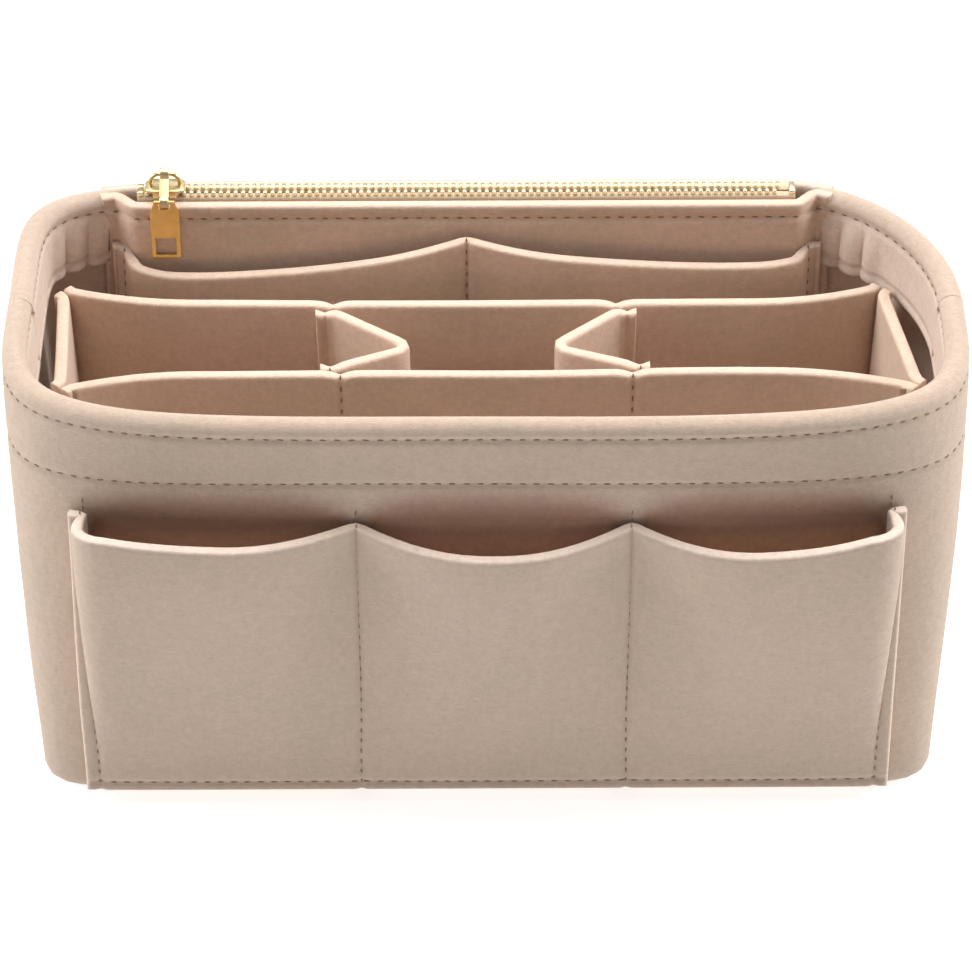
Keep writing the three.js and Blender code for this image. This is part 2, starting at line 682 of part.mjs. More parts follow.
function roundedPlate(length, width, thickness) {
  const radius = width * plateRound;
  const halfLength = length / 2 - radius;
  const halfWidth = width / 2 - radius;
  const outline = new THREE.Shape([
    ...arc(halfLength, halfWidth, radius, 0, 90, ROUND_STEPS),
    ...arc(-halfLength, halfWidth, radius, 90, 180, ROUND_STEPS),
    ...arc(-halfLength, -halfWidth, radius, 180, 270, ROUND_STEPS),
    ...arc(halfLength, -halfWidth, radius, 270, 360, ROUND_STEPS),
  ]);
  return new THREE.ExtrudeGeometry(outline, { depth: thickness, bevelEnabled: false });
}

// The bridge: an arch along the slider, its bar round which the link turns. Height zero is the plate's top.
function archHalf(halfLength, rise, round) {
  return [
    new THREE.Vector2(halfLength, -plateLap),
    ...arc(halfLength - round, rise - round, round, 0, 90, ROUND_STEPS),
  ];
}

function bridge() {
  const outer = archHalf(BRIDGE_LENGTH / 2, barTop - plateTop, BRIDGE_ROOM);
  const inner = archHalf(BRIDGE_LENGTH / 2 - BRIDGE_POST, BRIDGE_ROOM, BRIDGE_ROOM / 2);
  const mirrored = (points) => points.map((point) => new THREE.Vector2(-point.x, point.y));
  const outline = [...outer, ...mirrored(outer).reverse(), ...mirrored(inner), ...inner.reverse()];
  const settings = { depth: BRIDGE_BAR, bevelEnabled: false };
  const geometry = new THREE.ExtrudeGeometry(new THREE.Shape(outline), settings);
  return geometry.translate(0, 0, -BRIDGE_BAR / 2).rotateX(Math.PI / 2).translate(0, 0, plateTop);
}

function slider() {
  const flangeIn = CHAIN_WIDTH / 2 + ZIP_CLEARANCE;
  const flangeOut = flangeIn + SLIDER_FLANGE;
  const flangeHalf = SLIDER_LENGTH / 2 - SLIDER_WIDTH * plateRound;
  const flangeBottom = tapeTop + ZIP_CLEARANCE;
  const top = roundedPlate(SLIDER_LENGTH, SLIDER_WIDTH, SLIDER_PLATE).translate(0, 0, plateBottom);
  const under = roundedPlate(SLIDER_LENGTH, SLIDER_UNDER_WIDTH, SLIDER_PLATE).translate(0, 0, underBottom);
  const web = block(
    -SLIDER_WEB_LENGTH / 2,
    SLIDER_WEB_LENGTH / 2,
    -webHalf,
    webHalf,
    underTop - plateLap,
    plateBottom + plateLap,
  );
  const flanges = [
    block(-flangeHalf, flangeHalf, flangeIn, flangeOut, flangeBottom, plateBottom + plateLap),
    block(-flangeHalf, flangeHalf, -flangeOut, -flangeIn, flangeBottom, plateBottom + plateLap),
  ];
  return joined([top, under, web, ...flanges, bridge()]).translate(sliderX, zipY, 0);
}

addPiece('zipper_slider', slider(), teethFinish);

// Pull: a link with an eye round the bridge's bar and an eye round the tab's top bar, and the hanging tab

const tabY = zipFaceFront - PULL_CLEARANCE - TAB_THICKNESS / 2;
const tabZ = barZ - LINK_DROP;
const bridgeEye = (BRIDGE_BAR / 2) * Math.SQRT2 + ZIP_CLEARANCE;
const tabEye = (Math.max(TAB_BAR, TAB_THICKNESS) / 2) * Math.SQRT2 + ZIP_CLEARANCE;

// The link's outline is seen from the side: x is the distance forward of the bridge's bar, y is height.
function link() {
  const reach = Math.hypot(zipY - tabY, LINK_DROP);
  const rearRadius = bridgeEye + LINK_WALL;
  const frontRadius = tabEye + LINK_WALL;
  const rearWaist = radToDeg(Math.asin(LINK_WAIST / 2 / rearRadius));
  const frontWaist = radToDeg(Math.asin(LINK_WAIST / 2 / frontRadius));
  const outline = new THREE.Shape([
    ...arc(0, 0, rearRadius, rearWaist, 360 - rearWaist, EYE_STEPS),
    ...arc(reach, 0, frontRadius, 180 + frontWaist, 540 - frontWaist, EYE_STEPS),
  ]);
  outline.holes.push(new THREE.Path(arc(0, 0, bridgeEye, 0, 360, EYE_STEPS).slice(1)));
  outline.holes.push(new THREE.Path(arc(reach, 0, tabEye, 0, 360, EYE_STEPS).slice(1)));
  const geometry = new THREE.ExtrudeGeometry(outline, { depth: LINK_WIDTH, bevelEnabled: false });
  const slope = Math.atan2(LINK_DROP, zipY - tabY);
  geometry.translate(0, 0, -LINK_WIDTH / 2).rotateZ(-slope).rotateX(Math.PI / 2).rotateZ(-Math.PI / 2);
  return geometry.translate(sliderX, zipY, barZ);
}

// The tab's outline is seen from the front, with its top bar's middle at zero.
function pullTab() {
  const half = TAB_WIDTH / 2;
  const neckHalf = TAB_NECK_WIDTH / 2;
  const slotHalfWidth = LINK_WIDTH / 2 + PULL_CLEARANCE;
  const slotBottom = -(tabEye + LINK_WALL + PULL_CLEARANCE);
  const windowBottom = -TAB_LENGTH + TAB_RAIL;
  const windowTop = windowBottom + TAB_WINDOW_LENGTH;
  const asPoints = (corners) => corners.map(([x, y]) => new THREE.Vector2(x, y));
  const outline = new THREE.Shape([
    ...asPoints([[neckHalf, TAB_BAR / 2], [-neckHalf, TAB_BAR / 2], [-half, -TAB_NECK_LENGTH]]),
    ...arc(-half + TAB_CORNER, TAB_CORNER - TAB_LENGTH, TAB_CORNER, 180, 270, ROUND_STEPS),
    ...arc(half - TAB_CORNER, TAB_CORNER - TAB_LENGTH, TAB_CORNER, 270, 360, ROUND_STEPS),
    ...asPoints([[half, -TAB_NECK_LENGTH]]),
  ]);
  const opening = (halfWidth, bottom, top) => new THREE.Path(
    asPoints([[halfWidth, top], [-halfWidth, top], [-halfWidth, bottom], [halfWidth, bottom]]),
  );
  outline.holes.push(opening(slotHalfWidth, slotBottom, -TAB_BAR / 2));
  outline.holes.push(opening(half - TAB_RAIL, windowBottom, windowTop));
  const geometry = new THREE.ExtrudeGeometry(outline, { depth: TAB_THICKNESS, bevelEnabled: false });
  return geometry.translate(0, 0, -TAB_THICKNESS / 2).rotateX(Math.PI / 2).translate(sliderX, tabY, tabZ);
}

addPiece('pull_link', link(), teethFinish);
addPiece('pull_tab', pullTab(), goldFinish);

export default organizer;
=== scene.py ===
"""Felt purse organizer insert: felt panels, sewing thread and a gold zip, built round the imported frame.

Metres, +Z up, +X along the length, +Y to the back. The origin is in the middle under the base.
"""
import math

import bmesh
import bpy
import numpy as np
from mathutils import Matrix, Vector, noise


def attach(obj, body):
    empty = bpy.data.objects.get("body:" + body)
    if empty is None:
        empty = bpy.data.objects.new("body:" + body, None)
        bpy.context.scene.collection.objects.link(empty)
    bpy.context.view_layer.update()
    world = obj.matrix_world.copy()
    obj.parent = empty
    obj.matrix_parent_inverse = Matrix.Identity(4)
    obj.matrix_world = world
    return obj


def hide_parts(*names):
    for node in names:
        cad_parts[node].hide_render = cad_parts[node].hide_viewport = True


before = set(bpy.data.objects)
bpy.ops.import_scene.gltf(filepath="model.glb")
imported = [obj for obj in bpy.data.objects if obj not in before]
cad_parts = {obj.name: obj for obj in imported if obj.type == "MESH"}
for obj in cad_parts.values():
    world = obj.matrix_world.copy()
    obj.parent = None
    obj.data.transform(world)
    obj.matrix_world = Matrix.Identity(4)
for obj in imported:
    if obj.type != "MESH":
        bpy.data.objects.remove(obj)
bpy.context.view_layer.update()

MM = 0.001
FRONT, BACK = -1, 1

# Outer wall and base
HEIGHT = 150 * MM
RIM_LENGTH = 302 * MM
RIM_DEPTH = 137 * MM
BASE_LENGTH = 288 * MM
BASE_DEPTH = 132 * MM
FELT = 4 * MM
SEAM_GAP = 0.3 * MM
SIDE_GAP = 0.05 * MM  # between the halves of the wall
FRONT_RIM_SQUARENESS = 4.2
BACK_RIM_SQUARENESS = 6.5
BASE_SQUARENESS = 18
REAR_RIGHT_ROUND = 58 * MM  # length of the elliptic right rear corner
BOTTOM_FOLD = 3 * MM
SIDE_STITCH = 4.5 * MM  # from a side seam
HEM_DEPTH = 26 * MM
HEM_TOP_STITCH = 5.5 * MM  # below the rim
HEM_LOW_STITCH = 22.5 * MM
HEM_SEAM_START = 1 * MM  # from an end of the rear hem, where its seams begin to press in
HEM_SEAM_FULL = 5 * MM  # and where they press in fully
FOLD_FADE = 6 * MM  # past the fold of the rim, where the inner face grows paler with painted light
PUCKER = 2.2 * MM  # depth of the gathers in the hem at the rear corners
PUCKER_LENGTH = 9.5 * MM
PUCKER_POWER = 1.5  # above 1, the gathers are narrower than the hollows between them
PUCKER_DROP = 9 * MM  # below the hem's upper stitch, where they are deepest
PUCKER_INSET = 46 * MM  # of the first gather from a side seam

# Front pockets
POCKET_SIDE_INSET = 15 * MM
POCKET_FLANGE = 4.5 * MM
MIDDLE_POCKET_WIDTH = 85 * MM
POCKET_BOTTOM = 5.5 * MM
POCKET_POST_DROP = 33 * MM
POCKET_SEAM_DROP = 36 * MM
POCKET_SEAM_SHIFT = 2 * MM
POCKET_SCOOP = 6.2 * MM
LEFT_POCKET_SCOOP = 3.2 * MM
POCKET_SWELL = 10 * MM
POCKET_END_SHOULDER = 7 * MM  # over which the front rises beside an end seam
POCKET_SEAM_SHOULDER = 41 * MM  # and beside an inner seam
POCKET_END_BULGE = 4.5 * MM  # of a full pocket, over the flange at its end
POCKET_BOTTOM_STITCH = 3.5 * MM  # above the panel's lower edge
MOUTH_POWER = 2.4  # of the curve of a scooped mouth
TACK_RISE = 0.1 * MM  # of the thread that ends a seam, above a pocket's mouth
TACK_MORE = 0.5 * MM  # by which it reaches higher than a stitch is long
HOLLOW_SHOULDER = 6 * MM  # beside a seam, over which the wall behind a pocket darkens with painted shade
HOLLOW_SPREAD = 26 * MM  # by which that widens up to the hem
HOLLOW_RISE = 7 * MM  # above the lowest place of a mouth, where the pocket's inside, with its painted bounce light, begins
HOLLOW_DEPTH = 6 * MM  # and below it, where it is darkest and the painted bounce light is full

# Zipped pocket and the slip pockets on it
ZIP_PANEL_LEFT_INSET = 26 * MM
ZIP_PANEL_RIGHT_INSET = 38 * MM
ZIP_PANEL_FLANGE = 4 * MM
ZIP_PANEL_BEND = 8 * MM
ZIP_PANEL_BOTTOM = 12 * MM
ZIP_PANEL_STRAIGHT_DROP = 50 * MM
ZIP_PANEL_STITCH = 5 * MM  # below its top edge
SLIP_SIDE_INSET = 3 * MM
SLIP_FLANGE = 5 * MM
SLIP_BOTTOM = 40 * MM
SLIP_POST_DROP = 17 * MM
SLIP_SEAM_DROP = 9.6 * MM
SLIP_LEFT_SCOOP = 6.5 * MM
SLIP_RIGHT_SCOOP = 4 * MM
SLIP_LEFT_SKEW = 0.7  # below 1, the left mouth is deepest left of its middle
SLIP_SWELL = 5 * MM
SLIP_END_SHOULDER = 16 * MM
SLIP_SEAM_SHOULDER = 30 * MM

# Tray
TRAY_DROP = 22 * MM
REAR_ROOM = 11 * MM
TRAY_DEPTH = 38.5 * MM
TRAY_FLARE = 7 * MM
TRAY_FLARE_LENGTH = 40 * MM
TRAY_SIDE_ROOM = 15.9 * MM
TRAY_SHIFT = -1.6 * MM
TRAY_LEFT_SKEW = 0.04
TRAY_RIGHT_SKEW = 0.15
TRAY_TAB = 2.5 * MM
TRAY_CORNER = 5 * MM
TRAY_NOTCH = 1.2 * MM  # by which a seam draws the top edge down
TRAY_NOTCH_REACH = 3 * MM
GUSSET_SEAM_X = 46 * MM
GUSSET_APEX_X = 22 * MM
GUSSET_APEX_FORWARD = 4.5 * MM
GUSSET_TAB = 6 * MM
GUSSET_FOLD = 3.2 * MM

# Zip
TAPE = 0.6 * MM
TAPE_WOVEN = 0.9  # share of that thickness which the weave fills
TAPE_ROUND = 0.1 * MM
TAPE_TURN_DOWN = 10 * MM
TAPE_BEND_LOW = 0.5 * MM  # below the flat tape, where its bend begins
TAPE_BEND_HIGH = 0.2 * MM  # and where it leans over
TAPE_BEND_IN = 0.3 * MM  # from the felt, where it lies flat
CHAIN_WIDTH = 5.6 * MM
CHAIN_SLOT = 1.2 * MM
CHAIN_THICKNESS = 1.4 * MM
TOOTH_PITCH = 2.4 * MM
TOOTH_REACH = 0.2 * MM  # of the rounded teeth into the open line between the rows
TOOTH_WIDTH = 1.3 * MM
TOOTH_ROUND = 0.4 * MM
STOP_LENGTH = 2 * MM
STOP_ROUND = 0.35 * MM
SLIDER_LENGTH = 13 * MM
SLIDER_FLANGE = 0.8 * MM
SLIDER_FLANGE_ROUND = 0.2 * MM
SLIDER_PLATE = 1 * MM
SLIDER_PLATE_ROUND = 0.3 * MM
SLIDER_UNDER_WIDTH = 4.4 * MM
SLIDER_UNDER_ROUND = 0.25 * MM
SLIDER_WEB_LENGTH = 7 * MM
SLIDER_WEB_ROUND = 0.1 * MM
BRIDGE_LENGTH = 11 * MM
BRIDGE_BAR = 1.5 * MM
BRIDGE_ROOM = 3.4 * MM
BRIDGE_BEND = 0.9  # share of that room which its two bends take
ZIP_CLEARANCE = 0.3 * MM

# Pull
LINK_WIDTH = 3 * MM
LINK_WALL = 0.8 * MM
LINK_DROP = 5.5 * MM
LINK_ROUND = 0.25 * MM
TAB_WIDTH = 9.6 * MM
TAB_NECK_WIDTH = 6.6 * MM
TAB_NECK_LENGTH = 4.5 * MM
TAB_LENGTH = 21.7 * MM
TAB_THICKNESS = 1.2 * MM
TAB_ROUND = 0.3 * MM
TAB_BAR = 1.2 * MM
TAB_RAIL = 1.5 * MM
TAB_CORNER = 1.1 * MM
TAB_WINDOW_LENGTH = 6.5 * MM
PULL_CLEARANCE = 0.4 * MM

# Felt and thread
CUT_ROUND = 1.1 * MM  # of a cut edge's two corners
CUT_PALE = 0.8  # share of that round over which the paler cut fades
SEAM_ROUND = 0.2 * MM  # where two cut edges meet in a seam
FOLD_ROUND = 1.9 * MM
GROOVE_DEPTH = 0.36  # share of the felt's thickness that a seam presses in
GROOVE_WIDTH = 1.2 * MM
STITCH_PITCH = 4.3 * MM
STITCH_LENGTH = 2.2 * MM
STITCH_THICKNESS = 0.62 * MM
STITCH_LIFT = 0.05 * MM  # of the thread's middle over the bottom of the groove
STITCH_UNEVENNESS = 0.1
STITCH_SEED = 7
SAG = 0.7 * MM  # the slow unevenness of hand-laid felt
SAG_SEED = 5
SAG_LENGTH = 70 * MM
SAG_FLOOR = 4 * MM  # height at which it begins
SAG_FULL = 40 * MM  # and has all its depth
SAG_FADE = 24 * MM  # toward the back, where it begins to end
SAG_END = 44 * MM

# Steps and counts of points
COARSE_STEP = 4 * MM
HEM_STEP = 3 * MM
TRAY_STEP = 2.5 * MM
TRAY_ROW_STEP = 6 * MM
TAPE_STEP = 6 * MM
PUCKER_STEP = 1.2 * MM
SHOULDER_STEP = 1 * MM
BEND_STEP = 0.8 * MM
HEM_END_STEP = 0.2 * MM
CLOSEST = 0.12 * MM  # nearer places become one
EXACT = 5  # decimals of a metre that tell two places apart
EDGE_PLACES = np.array([0, 0.15, 0.5, 1.1, 2.2]) * MM  # beside a cut edge
SEAM_PLACES = np.array([0, 0.5, 1, 1.5, 2, 2.8]) * MM  # beside a seam
CORNER_POINTS = 160  # of each curve that a row of the wall is made of
GIRTH_POINTS = 400  # along half of the wall, to measure it
RIM_POINTS = 4000  # along the rim, to find the ends of the hem
BASE_COLUMNS = 81
BASE_REACH = 0.495  # of a half turn, up to just short of the base's ends
FLARE_POINTS = 12
FOOT_ROWS, FOLD_ROWS = 6, 11
TAPE_UPRIGHT_ROWS, TAPE_FLAT_ROWS = 6, 5
BEND_POINTS, EYE_POINTS = 12, 28

# Finishes, with patterns counted per metre
WHITE, BLACK = (1, 1, 1, 1), (0, 0, 0, 1)
BLOTCHES, MOTTLES, FIBRES = 28, 420, 1500
FIBRE_STRETCH = (0.35, 1, 1.6)
FELT_RELIEF = 0.5 * MM
INWARD_PAINTED_LIGHT = 0.7  # share of the edge colour painted on faces that look inward, as painted light
MOUTH_SHADOW = (0.62, 0.45, 0.38, 1)  # painted shadow on the wall at a pocket's mouth
POCKET_GLOW = (1.6, 1.16, 0.92, 1)  # painted bounce light: the light that felt throws back deep inside
THREAD_TWISTS = 2200
THREAD_RELIEF = 0.2 * MM
TAPE_RIBS = 420
TAPE_RELIEF = 0.2 * MM
WORN_PATCHES, PLATING_GRAIN = 260, 1800
WORN_ROUGHNESS = 0.15  # that the patches add
PLATING_RELIEF = 0.1 * MM
FLOOR_CLOUDS = 6
SHARP_EDGE = 35  # degrees, from which the edges of metal stay crisp
SAME_PLACE = 0.001 * MM  # corners as near as this are joined

# Studio
FLOOR_SIZE = 12.0
CAMERA_AZIMUTH = -0.4  # degrees, to the right of the front
CAMERA_ELEVATION = 37.5
CAMERA_DISTANCE = 1.4
CAMERA_TARGET = Vector((0, 0, HEIGHT / 2))
FRAME_PIXELS = 972
FOCAL_PIXELS = 4300  # focal length, in pixels of the frame
SENSOR = 36.0  # millimetres
ROOM_LIGHT = 0.22
COOL_WHITE = (0.98, 0.985, 1)
WARM_WHITE = (1, 0.985, 0.965)


# Helpers for points and meshes

def lerp(low, high, share):
    return low + (high - low) * share


def smoothstep(value, low, high):
    share = np.clip((value - low) / (high - low), 0, 1)
    return share * share * (3 - 2 * share)


def points_at(x, y, z):
    """Points from their coordinates, each an array or one value for all of them."""
    return np.stack(np.broadcast_arrays(x, y, z), axis=-1)


def unit(vectors):
    return vectors / np.linalg.norm(vectors, axis=-1, keepdims=True)


def new_object(name, data):
    made = bpy.data.objects.new(name, data)
    bpy.context.scene.collection.objects.link(made)
    return made


def plain_mesh(name, vertices, edges, faces):
    mesh = bpy.data.meshes.new(name)
    mesh.from_pydata(vertices, edges, faces)
    return mesh


def worked_mesh(name, shape):
    """The plain mesh of a shape that is finished, which is then freed."""
    mesh = bpy.data.meshes.new(name)
    shape.to_mesh(mesh)
    shape.free()
    return mesh


def shown_mesh(holder):
    """The plain mesh that an object shows."""
    return bpy.data.meshes.new_from_object(holder.evaluated_get(bpy.context.evaluated_depsgraph_get()))


# Shape of the outer wall

def wall_size(z, inset, side):
    """Half length, half depth and squareness at a height, and where the right rear corner starts."""
    share = z / HEIGHT
    rim_power = BACK_RIM_SQUARENESS if side == BACK else FRONT_RIM_SQUARENESS
    outside = lerp(BASE_LENGTH, RIM_LENGTH, share) / 2
    half_depth = lerp(BASE_DEPTH, RIM_DEPTH, share) / 2 - inset
    return outside - inset, half_depth, lerp(BASE_SQUARENESS, rim_power, share), outside - REAR_RIGHT_ROUND


def wall_depth(x, z, inset, side):
    """How far the wall stands from the long middle plane at a place along it."""
    half_length, half_depth, power, start = wall_size(z, inset, side)
    depth = half_depth * np.maximum(1 - np.abs(x / half_length) ** power, 0) ** (1 / power)
    if side == FRONT:
        return depth
    turned = np.clip((x - start) / (half_length - start), 0, 1)
    return np.where(x > 0, half_depth * np.sqrt(1 - turned ** 2), depth)


def wall_row(shares, z, inset, side):
    """Points of one half of the wall at a height, at shares of its length from the left seam to the right."""
    half_length, half_depth, power, start = wall_size(z, inset, side)
    knee = 0.5 ** (1 / power)
    rising = np.linspace(0, knee, CORNER_POINTS)
    partner = (1 - rising ** power) ** (1 / power)
    quarter_x = np.concatenate([rising, partner[::-1][1:]]) * half_length
    quarter_y = np.concatenate([partner, rising[::-1][1:]]) * half_depth
    right_x, right_y = quarter_x[1:], quarter_y[1:]
    if side == BACK:
        turn = np.linspace(0, math.pi / 2, CORNER_POINTS)
        right_x = start + (half_length - start) * np.sin(turn)
        right_y = half_depth * np.cos(turn)
    x = np.concatenate([-quarter_x[::-1], right_x])
    y = np.concatenate([quarter_y[::-1], right_y])
    run = np.concatenate([[0], np.cumsum(np.hypot(np.diff(x), np.diff(y)))])
    at = shares * run[-1]
    depth = SIDE_GAP / 2 + np.interp(at, run, y) * (1 - SIDE_GAP / 2 / half_depth)
    return points_at(np.interp(at, run, x), side * depth, z)


# Places that follow from the sizes

TURN_IN = FELT + BOTTOM_FOLD
zip_panel_left = -(RIM_LENGTH / 2 - ZIP_PANEL_LEFT_INSET)
zip_panel_right = RIM_LENGTH / 2 - ZIP_PANEL_RIGHT_INSET
zip_left = zip_panel_left + ZIP_PANEL_FLANGE + ZIP_PANEL_BEND
zip_right = zip_panel_right - ZIP_PANEL_FLANGE - ZIP_PANEL_BEND
zip_half_room = SLIDER_UNDER_WIDTH / 2 + ZIP_CLEARANCE + TAPE
zip_y = wall_depth(zip_left, HEIGHT, FELT + 2 * SEAM_GAP, BACK) - zip_half_room
zip_face_rear = zip_y - zip_half_room - SEAM_GAP
zip_face_front = zip_face_rear - FELT
zip_straight_z = HEIGHT - ZIP_PANEL_STRAIGHT_DROP
tape_bottom = HEIGHT + ZIP_CLEARANCE
tape_top = tape_bottom + TAPE
chain_bottom = tape_top + ZIP_CLEARANCE
chain_top = chain_bottom + CHAIN_THICKNESS
chain_left = zip_left + STOP_LENGTH + ZIP_CLEARANCE
chain_right = zip_right - STOP_LENGTH - ZIP_CLEARANCE
slider_x = chain_left + ZIP_CLEARANCE + SLIDER_LENGTH / 2
plate_bottom = chain_top + ZIP_CLEARANCE
plate_top = plate_bottom + SLIDER_PLATE
bar_z = plate_top + BRIDGE_ROOM + BRIDGE_BAR / 2
tab_y = zip_face_front - PULL_CLEARANCE - TAB_THICKNESS / 2
tab_z = bar_z - LINK_DROP
bridge_eye = BRIDGE_BAR / 2 * math.sqrt(2) + ZIP_CLEARANCE
tab_eye = max(TAB_BAR, TAB_THICKNESS) / 2 * math.sqrt(2) + ZIP_CLEARANCE

pocket_half = BASE_LENGTH / 2 - POCKET_SIDE_INSET
pocket_seam_top = HEIGHT - POCKET_SEAM_DROP
pocket_post_top = HEIGHT - POCKET_POST_DROP
pocket_seams = np.array([
    -pocket_half + POCKET_FLANGE,
    POCKET_SEAM_SHIFT - MIDDLE_POCKET_WIDTH / 2,
    POCKET_SEAM_SHIFT + MIDDLE_POCKET_WIDTH / 2,
    pocket_half - POCKET_FLANGE,
])
pocket_tops = np.array([pocket_post_top, pocket_seam_top, pocket_seam_top, pocket_post_top])
pocket_scoops = np.array([LEFT_POCKET_SCOOP, POCKET_SCOOP, POCKET_SCOOP])
pocket_skews = np.ones(3)

slip_left = zip_panel_left + SLIP_SIDE_INSET
slip_right = zip_panel_right - SLIP_SIDE_INSET
slip_post_top = HEIGHT - SLIP_POST_DROP
slip_seam_top = HEIGHT - SLIP_SEAM_DROP
slip_seams = np.array([slip_left + SLIP_FLANGE, (slip_left + slip_right) / 2, slip_right - SLIP_FLANGE])
slip_tops = np.array([slip_post_top, slip_seam_top, slip_post_top])
slip_scoops = np.array([SLIP_LEFT_SCOOP, SLIP_RIGHT_SCOOP])
slip_skews = np.array([SLIP_LEFT_SKEW, 1])
slip_stand_off = TAB_THICKNESS + 2 * PULL_CLEARANCE
slip_front_y = zip_face_front - SEAM_GAP - SLIP_SWELL - FELT

tray_top = HEIGHT - TRAY_DROP
tray_bottom = FELT + SEAM_GAP
tray_back_y = slip_front_y - REAR_ROOM - FELT / 2
tray_front_y = tray_back_y - TRAY_DEPTH
tray_middle_y = (tray_back_y + tray_front_y) / 2
tray_wall_half = wall_size(tray_top, 0, FRONT)[0]
tray_taper = wall_size(tray_bottom, 0, FRONT)[0] / tray_wall_half
tray_end_x = tray_wall_half - TRAY_SIDE_ROOM
layer_step = FELT + SEAM_GAP
tab_shift = layer_step / math.sqrt(2)
tab_reach = TRAY_TAB / math.sqrt(2)

strip_rounds = (CUT_ROUND, CUT_ROUND, SEAM_ROUND, SEAM_ROUND)  # of a strip's low, high, start and end edges
strip_cuts = (1, 1, 0, 0)  # the edges of it that show cut felt


# Felt sheets

def marks(length, step=COARSE_STEP, lines=(), extra=()):
    """Places from 0 to length: evenly spaced, and closer at both ends and beside each seam line."""
    even = np.linspace(0, length, max(2, round(length / step) + 1))
    places = [even, EDGE_PLACES, length - EDGE_PLACES, np.asarray(extra)]
    for line in lines:
        places += [line - SEAM_PLACES, line + SEAM_PLACES]
    found = np.unique(np.round(np.clip(np.concatenate(places), 0, length), EXACT))
    kept = [found[0]]
    must = set(np.round([0, length, *lines], EXACT))
    for place in found[1:]:
        if place - kept[-1] > CLOSEST:
            kept.append(place)
        elif round(place, EXACT) in must:
            kept[-1] = place
    return np.array(kept)


def groove(distance):
    """The share of the felt's thickness left at a distance from a seam line."""
    return 1 - GROOVE_DEPTH * np.exp(-(distance / GROOVE_WIDTH) ** 2)


noise.seed_set(SAG_SEED)


def uneven(points):
    """Moves points by a slow wave that is the same for all neighbours, and fades at the floor and the zip."""
    moved = points.copy()
    for place in moved.reshape(-1, 3):
        x, y, z = place
        fade = smoothstep(z, SAG_FLOOR, SAG_FULL) * (1 - smoothstep(y, SAG_FADE, SAG_END))
        if fade > 0:
            place += SAG * fade * np.array(noise.noise_vector(Vector((x, y, z)) / SAG_LENGTH))
    return moved


def run_lengths(points, axis):
    """For each point, the distances along the grid to its two ends on that axis."""
    step = np.linalg.norm(np.diff(points, axis=axis), axis=-1)
    start = np.zeros_like(np.take(step, [0], axis=axis))
    from_start = np.concatenate([start, np.cumsum(step, axis=axis)], axis=axis)
    return from_start, np.take(from_start, [-1], axis=axis) - from_start


def rounded_half(distance, radius, half):
    """Half of the thickness near a cut edge, whose corners are rounded."""
    inside = np.clip(radius - distance, 0, radius)
    return np.minimum(half, half - radius + np.sqrt(radius ** 2 - inside ** 2))


def facing(middle):
    """The direction in which the near face of a sheet looks at each point of its middle surface."""
    return unit(np.cross(np.gradient(middle, axis=1), np.gradient(middle, axis=0)))


thread_runs = []


class Sheet:
    """A closed felt sheet on a grid of points of its middle surface, rows upward and columns along it.

    On each face, a mark says how much shade or light is painted on the felt there: from 0 to 2 inside a
    pocket, painted shade up to its mouth and painted bounce light deeper in, and -1 for painted light on
    inward faces.
    """

    def __init__(self, middle, thickness=FELT, rounds=(CUT_ROUND,) * 4, pinch=1.0, raw=(1, 1, 1, 1)):
        normal = facing(middle)
        half = thickness / 2
        edge_low, edge_high = run_lengths(middle, 0)
        edge_start, edge_end = run_lengths(middle, 1)
        halves = np.full(middle.shape[:2], half)
        self.cut = np.zeros(middle.shape[:2])
        for distance, radius, cut in zip((edge_low, edge_high, edge_start, edge_end), rounds, raw):
            radius = min(radius, half)
            halves = np.minimum(halves, rounded_half(distance, radius, half))
            self.cut = np.maximum(self.cut, cut * (1 - smoothstep(distance, 0, CUT_PALE * CUT_ROUND)))
        halves = (halves * pinch)[..., None]
        self.near = middle + normal * halves
        self.far = middle - normal * halves
        self.painted_shading = np.zeros(middle.shape[:2])
        self.far_painted_shading = np.zeros(middle.shape[:2])

    def sew(self, rows, columns, near=True):
        """Lays a run of thread along part of the grid, lifted off the near or the far face."""
        face, other = (self.near, self.far) if near else (self.far, self.near)
        outward = unit(face[rows, columns] - other[rows, columns])
        thread_runs.append(face[rows, columns] + STITCH_LIFT * outward)

    def mesh_data(self, offset=0):
        rows, columns = self.cut.shape
        near = np.arange(rows * columns).reshape(rows, columns) + offset
        far = near + rows * columns
        faces = []
        for i in range(rows - 1):
            for j in range(columns - 1):
                faces.append((near[i, j], near[i, j + 1], near[i + 1, j + 1], near[i + 1, j]))
                faces.append((far[i, j], far[i + 1, j], far[i + 1, j + 1], far[i, j + 1]))
        rim = [(0, j) for j in range(columns)] + [(i, columns - 1) for i in range(1, rows)]
        rim += [(rows - 1, j) for j in range(columns - 2, -1, -1)] + [(i, 0) for i in range(rows - 2, 0, -1)]
        for a, b in zip(rim, rim[1:] + rim[:1]):
            faces.append((near[b], near[a], far[a], far[b]))
        vertices = np.concatenate([self.near.reshape(-1, 3), self.far.reshape(-1, 3)])
        cut = np.concatenate([self.cut.ravel(), self.cut.ravel()])
        return vertices, faces, cut, np.concatenate([self.painted_shading.ravel(), self.far_painted_shading.ravel()])


def sheet_object(name, *sheets):
    """One object of one or more closed sheets, with the cut edges and the painted light and shade marked for
    the material.
    """
    vertices, faces, cut, painted_shading = [], [], [], []
    for sheet in sheets:
        more, more_faces, more_cut, more_painted_shading = sheet.mesh_data(sum(len(part) for part in vertices))
        vertices.append(more)
        faces += more_faces
        cut.append(more_cut)
        painted_shading.append(more_painted_shading)
    mesh = plain_mesh(name, np.concatenate(vertices).tolist(), [], [tuple(map(int, face)) for face in faces])
    for mark, values in (("cut_edge", cut), ("painted_shading", painted_shading)):
        mesh.attributes.new(mark, "FLOAT", "POINT").data.foreach_set("value", np.concatenate(values))
    mesh.shade_smooth()
    return new_object(name, mesh)


def nearest(places, place):
    return int(np.argmin(np.abs(places - place)))


